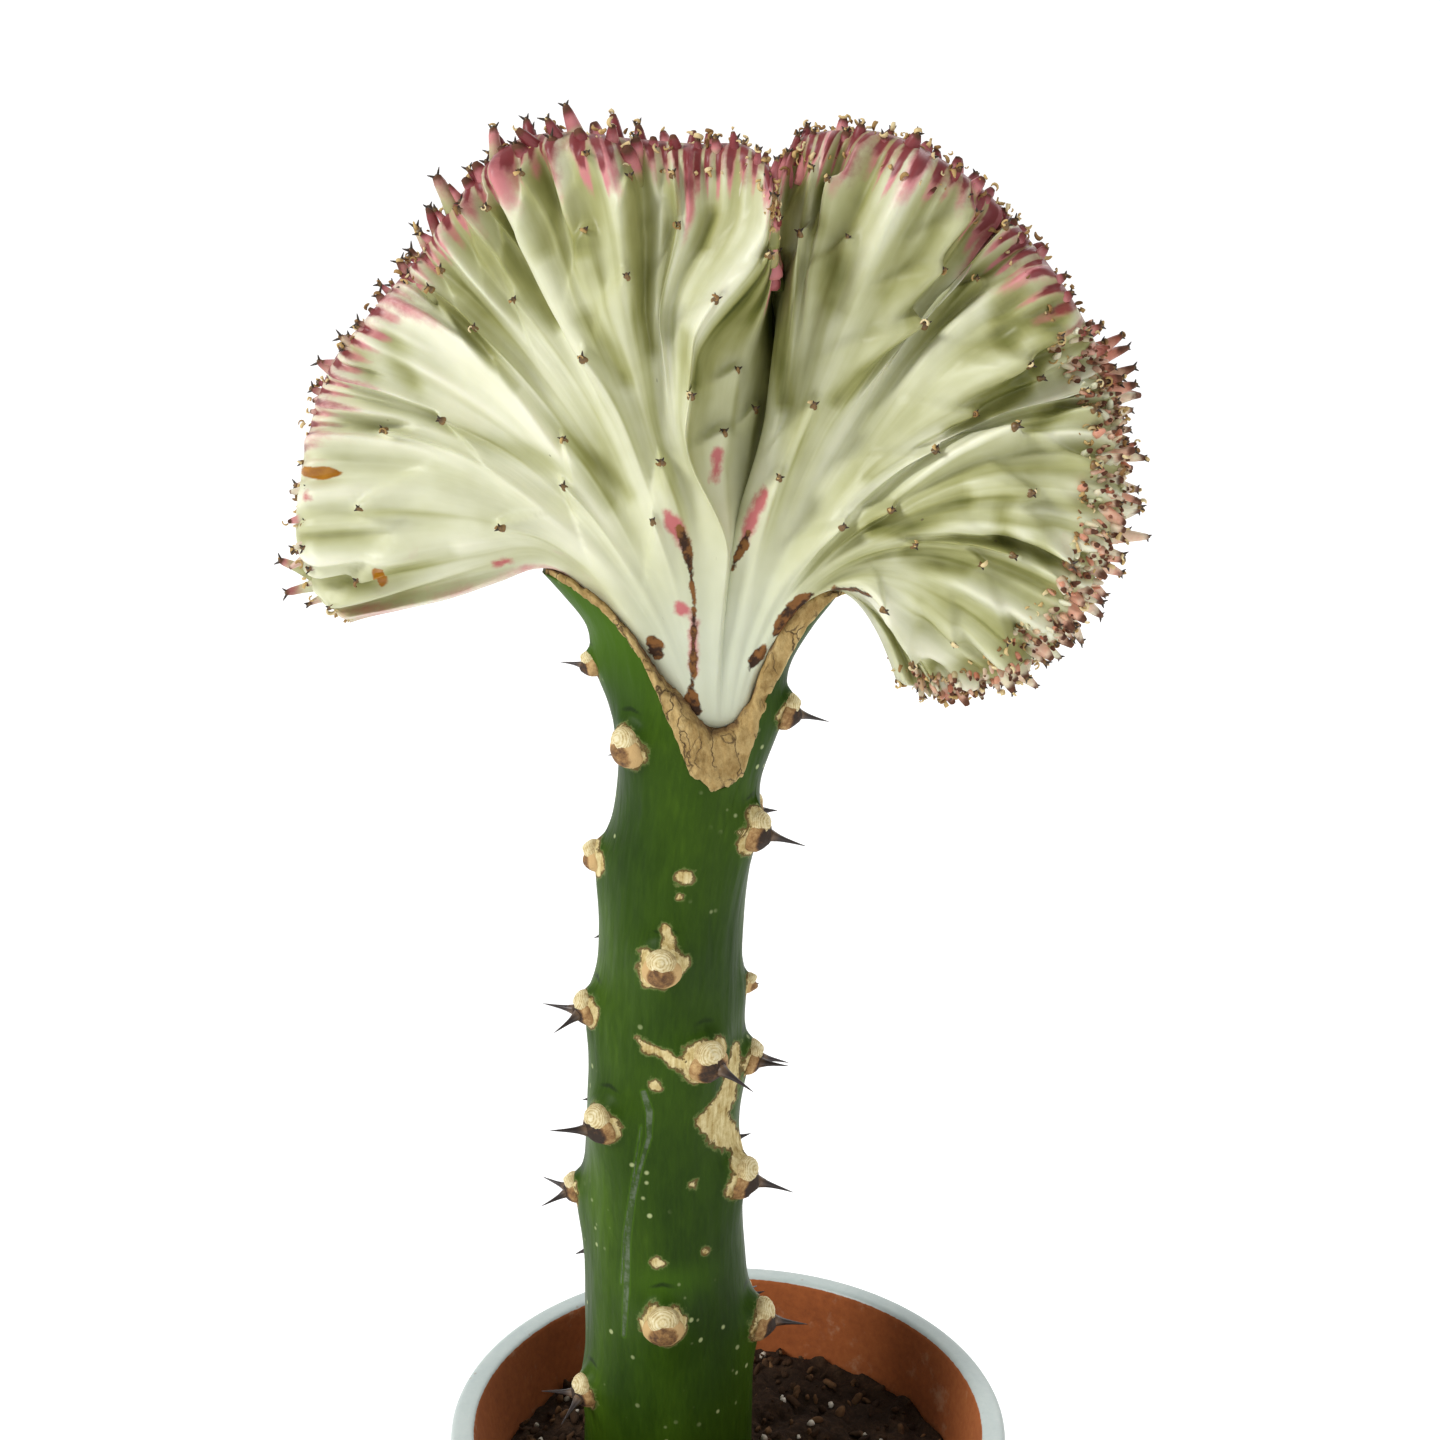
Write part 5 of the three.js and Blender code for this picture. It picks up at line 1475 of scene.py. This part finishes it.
def make_stem(material):
    half = STEM_COLUMNS // 2
    shares = fork_shares(half)
    even = np.sin(((np.arange(half) + 0.5) / half - 0.5) * math.pi)
    columns = []
    for front in (True, False):
        def turn_of(share):
            return np.arcsin(share) if front else math.pi - np.arcsin(share)
        top = fork_top(turn_of(shares))
        buried = np.array(STEM["buried"], float)
        open_rows = np.linspace(0, 1, STEM_ROWS)
        z = np.concatenate([
            np.broadcast_to(buried, (half, 3)),
            STEM["plain_top"] - 4 + (top[:, None] - STEM["plain_top"] + 4) * open_rows,
        ], axis=1)
        share = mix(even[:, None], shares[:, None], smooth(0, 1, (z - 202) / (top[:, None] - 203)))
        turn = turn_of(share)
        points = stem_point(turn, z)
        order = slice(None) if front else slice(None, None, -1)
        columns.append((points[order], turn[order], z[order]))
    points, turn, z = (np.concatenate(part) for part in zip(*columns))
    n, rows = turn.shape
    i, k = np.meshgrid(np.arange(n), np.arange(rows - 1), indexing="ij")
    j = (i + 1) % n
    a, b, c, d = (w.ravel() for w in (i * rows + k, j * rows + k, j * rows + k + 1, i * rows + k + 1))
    triangles = quads(a, b, c, d)
    foot = n * rows
    ring = np.arange(n)
    triangles.append(np.stack([np.full(n, foot), (ring + 1) % n * rows, ring * rows], 1))
    f = np.arange(half - 1)
    triangles += quads(*(w * rows + rows - 1 for w in (f, f + 1, n - 2 - f, n - 1 - f)))
    flat = np.concatenate([points.reshape(-1, 3), [[STEM["x"], 0, STEM["foot"]]]])
    around, marks = stem_marks(points, turn, z)
    skin = np.stack([around, z, np.zeros_like(z)], axis=-1).reshape(-1, 3)
    values = {
        "skin": np.concatenate([skin, [[0, 0, 0]]]),
        "marks": np.concatenate([marks.reshape(-1, 3), [[FAR, 0, 0]]]),
    }
    return make_piece("stem_skin", flat, np.concatenate(triangles), material, *ROOTSTOCK, values)


def stem_marks(points, turn, z):
    """How far outside the scabs a point lies, how much painted shade the creased skin above a knob gets,
    and how much painted light the upper left branch gets, with a pale patch and the scratch
    """
    _, half_width, _ = np.moveaxis(stem_at(z), -1, 0)
    field = np.full(z.shape, FAR)
    crease_shade = np.zeros(z.shape)
    for knob_turn, knob_z, size, _, scab in STEM_KNOBS:
        around = 2 * half_width * np.sin((turn - knob_turn) / 2)
        up = z - knob_z
        lumpy = 0.45 * noise(np.arctan2(up, around) * 1.5, knob_z, seed=3)
        field = np.minimum(field, np.hypot(around, up + 0.8) - 2.9 * size - 0.4 * scab - lumpy * scab)
        # Painted shade: a thin dark arc in the creased skin above each knob
        fold = np.exp(-(((up - 5.2 * size + 0.25 * np.abs(around)) / 0.5) ** 2) - (around / 2.8) ** 2)
        crease_shade = np.maximum(crease_shade, fold)
    front = points[..., 1] < 0
    x = points[..., 0]
    for line in (BIG_SCAB, TAIL_SCAB, PLUME_SCAB, *SMALL_SCABS):
        field = np.minimum(field, np.where(front, distance_to_line(x, z, line), FAR))
    scratch = np.min([distance_to_line(x, z, line) for line in SCRATCHES], axis=0)
    # Painted light: paler on the upper left branch, where the light falls; a pale patch low on the front
    # and the pale scratch ride on the same number
    arm_light_and_scratch = smooth(228, 250, z) * smooth(0, -14, x)
    pale = np.exp(-(((x + 9.5) / 7) ** 2) - ((z - 129.5) / 3.0) ** 2) * front
    arm_light_and_scratch = np.clip(arm_light_and_scratch + 0.7 * pale, 0, 1) + 1.9 * smooth(0.3, -0.1, scratch) * front
    around = turn * half_width
    return around, np.stack([field, crease_shade, arm_light_and_scratch], axis=-1)


def make_stem_trim(scar_skin, spine_skin):
    """On each knob a round corky leaf scar, the brown shield below it and its spines"""
    rng = np.random.default_rng(41)
    scars, spines = Heap(), Heap()
    for turn, z, size, hands, _ in STEM_KNOBS:
        skin = stem_point(np.array(turn), np.array(float(z)))
        out = np.array([math.sin(turn), -math.cos(turn), 0.0])
        side = np.array([math.cos(turn), math.sin(turn), 0.0])
        up = np.array([0.0, 0.0, 1.0])
        aim = unit(out + 0.35 * up)
        # The peg that a fallen leaf left
        radii = size * np.array([2.5, 2.45, 2.4, 2.34, 2.24, 2.05, 1.7, 1.15, 0.5])
        root = skin - aim * 1.6 + up * 0.9 * size
        points, faces, share = horn(root, aim, side, 2.45, radii, 28, 0.9)
        turn_at = np.arctan2((points - root) @ side, (points - root) @ up)
        points += 0.16 * noise(np.cos(turn_at) * 2, np.sin(turn_at) * 2, z, seed=9)[:, None] * aim
        points += 0.1 * noise(*(points.T * 2.2), seed=11)[:, None] * side
        kind = np.stack([np.zeros_like(share), share, np.full_like(share, rng.random())], axis=-1)
        scars.add(points, faces, kind=kind)
        # The shield that carries the spines
        low = unit(out - 0.3 * up)
        radii = size * np.array([3.1, 3.15, 3.0, 2.8, 2.45, 2.0, 1.4, 0.7])
        root = skin - low * 1.9 - up * 1.5 * size
        points, faces, share = horn(root, low, side, 2.9, radii, 24, 0.95)
        points += 0.22 * noise(*(points.T * 0.9), seed=10)[:, None] * low
        pale = 0.6 * rng.random() if hands else 1.15
        kind = np.stack([np.ones_like(share), share, np.full_like(share, pale)], axis=-1)
        scars.add(points, faces, kind=kind)
        for hand in (-1, 1):
            if hands not in (2, hand):
                continue
            way = out + hand * KNOB["spread"] * side + up * (-0.12 - 0.25 * hand)
            root = skin + out * 0.2 + side * hand * 0.9 * size - up * 1.3 * size
            long = KNOB["spine"] * size + 1.0
            seen = abs(way[0]) > 0.9 and out[1] > 0.2
            long *= 0.5 if seen else 1
            radii = size * 0.75 * np.array([1.5, 1.1, 0.76, 0.55, 0.4, 0.28, 0.17, 0.05])
            bend = up * rng.uniform(-0.5, 0.3)
            points, faces, share = horn(root, way, side, long, radii, 10, 1.0, bend)
            spines.add(points, faces, tip=share)
    scars.piece("stem_leaf_scars", scar_skin, *ROOTSTOCK)
    spines.piece("stem_spines", spine_skin, *ROOTSTOCK)


# Callus: cracked cork between the cut of the fork and the fan's foot

CALLUS_ENDS = (-30.5, 19.5)


def fan_foot():
    """The fan's lower outline round its root, as x and height"""
    inner = np.linspace(0.7, 0.02, 60)
    foot = np.linspace(0, 1, 60)
    line = [fan_middle(0.0, v) for v in inner]
    line += [fan_middle(u, 0.0) for u in foot]
    line += [fan_middle(1.0, v) for v in inner[::-1]]
    line = np.array(line)[:, [0, 2]]
    return line[np.argsort(line[:, 0])]


def make_callus(material):
    """A corky bead that fills the fork and laps a little over stem and fan"""
    steps, sides = 320, 72
    foot = fan_foot()
    x = np.linspace(*CALLUS_ENDS, steps)
    low = notch_at(x)[..., 0]
    high = np.interp(x, foot[:, 0], foot[:, 1])
    high = np.maximum(high, low + 0.5)
    centre, half_width, half_depth = np.moveaxis(stem_at(np.minimum(low, 256)), -1, 0)
    share = np.clip((x - centre) / half_width, -0.95, 0.95)
    depth = half_depth * np.sqrt(1 - share**2)
    slope = np.gradient(low, x)
    stretch = np.sqrt(1 + slope**2)
    ends = smooth(0, 4, x - x[0]) * smooth(0, 4, x[-1] - x)
    slender = smooth(-9, -14, x) + smooth(5, 12, x) * 0.7
    lap = 0.9 * ends * (1 - 0.75 * slender) + 0.2
    ragged = 0.5 * noise(x * 0.9, seed=51) + 0.35 * noise(x * 2.3, seed=52)
    low = low - ends * (0.4 * ragged + 0.5 * np.exp(-(((x + 2.2) / 1.6) ** 2)))
    high = high + ends * 0.5 * ragged[::-1]
    middle = (low + high) / 2
    tall = (high - low) / 2 + lap * np.minimum(stretch, 2.2)
    turns = circle(sides)
    box = 5.0  # how square the section is
    cos, sin = np.cos(turns), np.sin(turns)
    scale = (np.abs(cos) ** box + np.abs(sin) ** box) ** (-1 / box)
    y = np.outer(depth - 0.3 + 0.9 * ends, cos * scale)
    z = middle[:, None] + np.outer(tall, sin * scale)
    points = np.stack([np.broadcast_to(x[:, None], y.shape), y, z], axis=-1)
    rough = 0.55 * layered(points[..., 0] * 0.5, points[..., 1] * 0.5, points[..., 2] * 0.5, 4, seed=50)
    push = np.sign(points[..., 1]) * smooth(2, 9, np.abs(points[..., 1]))
    points[..., 1] += push * rough * ends[:, None]
    points[..., 2] += 0.3 * rough * np.sign(sin) * ends[:, None]
    ends = [points[0].mean(0), points[-1].mean(0)]
    flat = np.concatenate([points.reshape(-1, 3), ends])
    rim = np.concatenate([np.broadcast_to(sin * scale, y.shape).ravel(), [0, 0]])
    faces = tube_faces(steps, sides)
    return make_piece("callus_cork", flat, faces, material, "graft_callus", "cork_callus", {"rim": rim})


# Pot and soil

def lathe(profile, sides):
    """Points and triangles of a closed turned body. The profile starts and ends on the axis."""
    turns = circle(sides)
    r, z = np.array(profile[1:-1], float).T
    ways = (r, np.cos(turns)), (r, np.sin(turns)), (z, np.ones(sides))
    ring = np.stack([np.outer(*way) for way in ways], -1)
    ends = np.array([[0, 0, profile[0][1]], [0, 0, profile[-1][1]]], float)
    return np.concatenate([ring.reshape(-1, 3), ends]), tube_faces(len(r), sides)


def rounded_profile(corners, spacing):
    """Corners of a profile, each with a rounding radius, as a fine line of points"""
    line = [corners[0][:2]]
    for before, here, after in zip(corners, corners[1:], corners[2:]):
        p, a, b = (np.array(c[:2], float) for c in (here, before, after))
        radius = here[2]
        back = p + unit(a - p) * radius
        ahead = p + unit(b - p) * radius
        line.append(back)
        for t in (0.25, 0.5, 0.75):
            line.append((1 - t) ** 2 * back + 2 * t * (1 - t) * p + t * t * ahead)
        line.append(ahead)
    line.append(corners[-1][:2])
    fine = []
    for a, b in zip(line, line[1:]):
        a, b = np.array(a, float), np.array(b, float)
        count = max(1, int(np.linalg.norm(b - a) / spacing))
        fine += [mix(a, b, k / count) for k in range(count)]
    fine.append(np.array(line[-1], float))
    return fine


def pot_inner_radius(z):
    low = POT["foot"] - POT["wall"]
    return mix(low, POT["lip"] - POT["lip_width"], (z - POT["floor"]) / (POT["height"] - POT["floor"]))


def make_pot(material):
    top, lip, foot = POT["height"], POT["lip"], POT["foot"]
    under = lip - POT["step"]
    band = top - POT["band"]
    inner = lip - POT["lip_width"]
    corners = [
        (0, 0, 0), (foot, 0, 1.4), (under, band, 1.0), (lip - 0.5, band + 0.6, 1.0),
        (lip, top, 1.5), (inner, top, 1.3), (pot_inner_radius(POT["floor"]), POT["floor"], 3.0),
        (0, POT["floor"], 0),
    ]
    points, faces = lathe(rounded_profile(corners, 2.0), 240)
    r = np.hypot(points[:, 0], points[:, 1])
    turn = np.arctan2(points[:, 1], points[:, 0])
    z = points[:, 2]
    wobble = 0.12 * noise(np.cos(turn) * 2, np.sin(turn) * 2, z * 0.05, seed=60)
    rings = 0.06 * np.sin(z * 1.9 + 0.7 * np.sin(z * 0.31))
    rings = rings * smooth(8, 14, z) * smooth(top - 2, top - 6, z)
    push = (wobble + rings) * smooth(6, 20, r) * smooth(3, 8, z)
    points[:, 0] -= push * np.cos(turn) * 0.9
    points[:, 1] -= push * np.sin(turn) * 0.9
    piece = make_piece("clay_pot", points, faces, material, "pot", "pot_clay")
    cutters = []
    for k in range(POT["drains"]):
        turn = (k + 0.5) / POT["drains"] * 2 * math.pi
        place = (POT["drain_ring"] * math.cos(turn) * MM, POT["drain_ring"] * math.sin(turn) * MM, 0)
        bpy.ops.mesh.primitive_cylinder_add(
            vertices=40, radius=POT["drain"] * MM, depth=4 * POT["floor"] * MM, location=place)
        cutters.append(bpy.context.object)
    for cutter in cutters:
        cut = piece.modifiers.new("drain", "BOOLEAN")
        cut.operation = "DIFFERENCE"
        cut.solver = "EXACT"
        cut.object = cutter
        bpy.context.view_layer.objects.active = piece
        bpy.ops.object.modifier_apply(modifier=cut.name)
        bpy.data.objects.remove(cutter)
    return piece


def soil_height(x, y):
    near = np.exp(-((x - STEM["x"]) ** 2 + y * y) / SOIL["mound_reach"] ** 2)
    fine = np.sin(x * 0.41 + 1.3) * np.cos(y * 0.37)
    broad = np.sin(x * 0.23 - y * 0.53)
    return SOIL["top"] + SOIL["lump"] * (fine + 0.7 * broad) + SOIL["mound"] * near


def make_soil(material, crumb_skin):
    rng = np.random.default_rng(77)
    sides = SOIL["sides"]
    turns = circle(sides)
    rim = pot_inner_radius(SOIL["top"]) - 0.25
    hole = STEM["radius"] + 0.15
    shares = np.linspace(0, 1, SOIL["rings"])[:, None]
    x = mix(STEM["x"] + hole * np.cos(turns), rim * np.cos(turns), shares)
    y = mix(hole * np.sin(turns), rim * np.sin(turns), shares)
    z = soil_height(x, y)
    rough = 0.9 * layered(x * 0.35, y * 0.35, 0, 5, seed=70)
    inside = smooth(0, 0.03, shares) * smooth(1, 0.985, shares)
    z = z + rough * mix(0.4, 1, inside) - 1.2 * smooth(0.97, 1.0, shares)
    top = np.stack([x, y, z], axis=-1)
    low = POT["floor"] + 0.35
    foot = STEM["foot"] - 0.35

    def ring(radius, height, centre=0.0):
        x = centre + radius * np.cos(turns)
        return np.stack([x, radius * np.sin(turns), np.full(sides, height)], -1)

    wall = [ring(pot_inner_radius(h) - 0.4, h) for h in (*SOIL["wall"], low + 3)]
    bottom = [ring(pot_inner_radius(low) - 3.4, low)]
    inner = [ring(hole, h, STEM["x"]) for h in (foot, *SOIL["shaft"])]
    body = np.stack([*inner, *top, *wall, *bottom])
    ends = np.array([[STEM["x"], 0, foot], [0, 0, low]], float)
    points = np.concatenate([body.reshape(-1, 3), ends])
    faces = tube_faces(len(body), sides)[:, ::-1]
    make_piece("soil_bed", points, faces, material, "soil", "potting_soil")

    crumbs = Heap()
    for _ in range(SOIL["crumbs"]):
        turn = rng.uniform(0, 2 * math.pi)
        share = rng.uniform(0.0, 0.97)
        cx = mix(STEM["x"] + (hole + 1.2) * math.cos(turn), rim * math.cos(turn), share)
        cy = mix((hole + 1.2) * math.sin(turn), rim * math.sin(turn), share)
        pale = rng.random() < SOIL["white"]
        size = rng.uniform(0.5, 1.3) if pale else rng.uniform(0.4, 1.5)
        place = np.array([cx, cy, float(soil_height(cx, cy)) + 0.25 * size])
        aim = unit(rng.normal(0, 1, 3))
        side = unit(rng.normal(0, 1, 3))
        radii = size * np.array([0.45, 0.85, 1.0, 0.9, 0.5]) * rng.uniform(0.8, 1.1, 5)
        stretch = 1.2 if pale else rng.uniform(1.1, 2.6)
        root = place - aim * size * stretch / 2
        points, faces, _ = horn(root, aim, side, size * stretch, radii * 0.7, 7, 0.75)
        points += 0.18 * size * noise(*(points.T * 1.7 / size), seed=71)[:, None]
        shade = rng.uniform(0.85, 1.0) if pale else rng.uniform(0.05, 0.6)
        crumbs.add(points, faces, shade=shade)
    crumbs.piece("soil_crumbs", crumb_skin, "soil", "potting_soil")


# Floor, light and camera

def make_studio(material):
    """A pale floor that rises behind the plant in one smooth sweep"""
    wide, front, back, tall, bend = 4.0, -3.0, 2.2, 3.2, 0.8
    curve = [(front, 0.0), (back - bend, 0.0)]
    turns = np.linspace(0, math.pi / 2, 17)[1:]
    curve += [(back - bend + bend * math.sin(t), bend - bend * math.cos(t)) for t in turns]
    curve.append((back, tall))
    points = [(side * wide, y, z) for y, z in curve for side in (-1, 1)]
    faces = [(2 * k, 2 * k + 1, 2 * k + 3, 2 * k + 2) for k in range(len(curve) - 1)]
    mesh = bpy.data.meshes.new("floor")
    mesh.from_pydata(points, [], faces)
    mesh.shade_smooth()
    mesh.materials.append(material)
    floor = bpy.data.objects.new("floor", mesh)
    bpy.context.scene.collection.objects.link(floor)


def add_light(name, place, size, power):
    light = bpy.data.lights.new(name, "AREA")
    light.shape = "DISK"
    light.size = size
    light.energy = power
    lamp = bpy.data.objects.new(name, light)
    lamp.location = place
    way = np.array(LIT_POINT) - np.array(place)
    pitch = math.atan2(math.hypot(way[0], way[1]), -way[2])
    lamp.rotation_euler = (pitch, 0, math.atan2(way[1], way[0]) - math.pi / 2)
    bpy.context.scene.collection.objects.link(lamp)


def light_and_camera():
    for light in LIGHTS:
        add_light(*light)
    world = bpy.data.worlds.new("studio")
    world.use_nodes = True
    shade = world.node_tree.nodes["Background"]
    shade.inputs[0].default_value = (1, 1, 1, 1)
    shade.inputs[1].default_value = 0.36
    scene = bpy.context.scene
    scene.world = world
    scene.view_settings.view_transform = "Standard"
    lens = bpy.data.cameras.new("camera")
    lens.lens = CAMERA["lens"]
    lens.sensor_width = 36
    lens.clip_start = 0.01
    camera = bpy.data.objects.new("camera", lens)
    camera.location = [c * MM for c in CAMERA["place"]]
    camera.rotation_euler = (math.radians(90 - CAMERA["pitch"]), 0, 0)
    scene.collection.objects.link(camera)
    scene.camera = camera


fan_skin_material = fan_material()
fan_spine_material = spine_material("fan_spine", (48, 32, 16), (164, 124, 66))
dry_leaf_material = flake_material()
stem_spine_material = spine_material("stem_spine", (40, 28, 24), (150, 120, 90))

light_and_camera()
make_studio(paper_material())
make_fan_sheet(fan_skin_material)
make_rim(fan_skin_material, fan_spine_material, dry_leaf_material)
make_fan_knobs(fan_spine_material, dry_leaf_material)
make_stem(stem_material())
make_stem_trim(scar_material(), stem_spine_material)
make_callus(cork_material())
make_pot(pot_material())
make_soil(soil_material(), crumb_material())
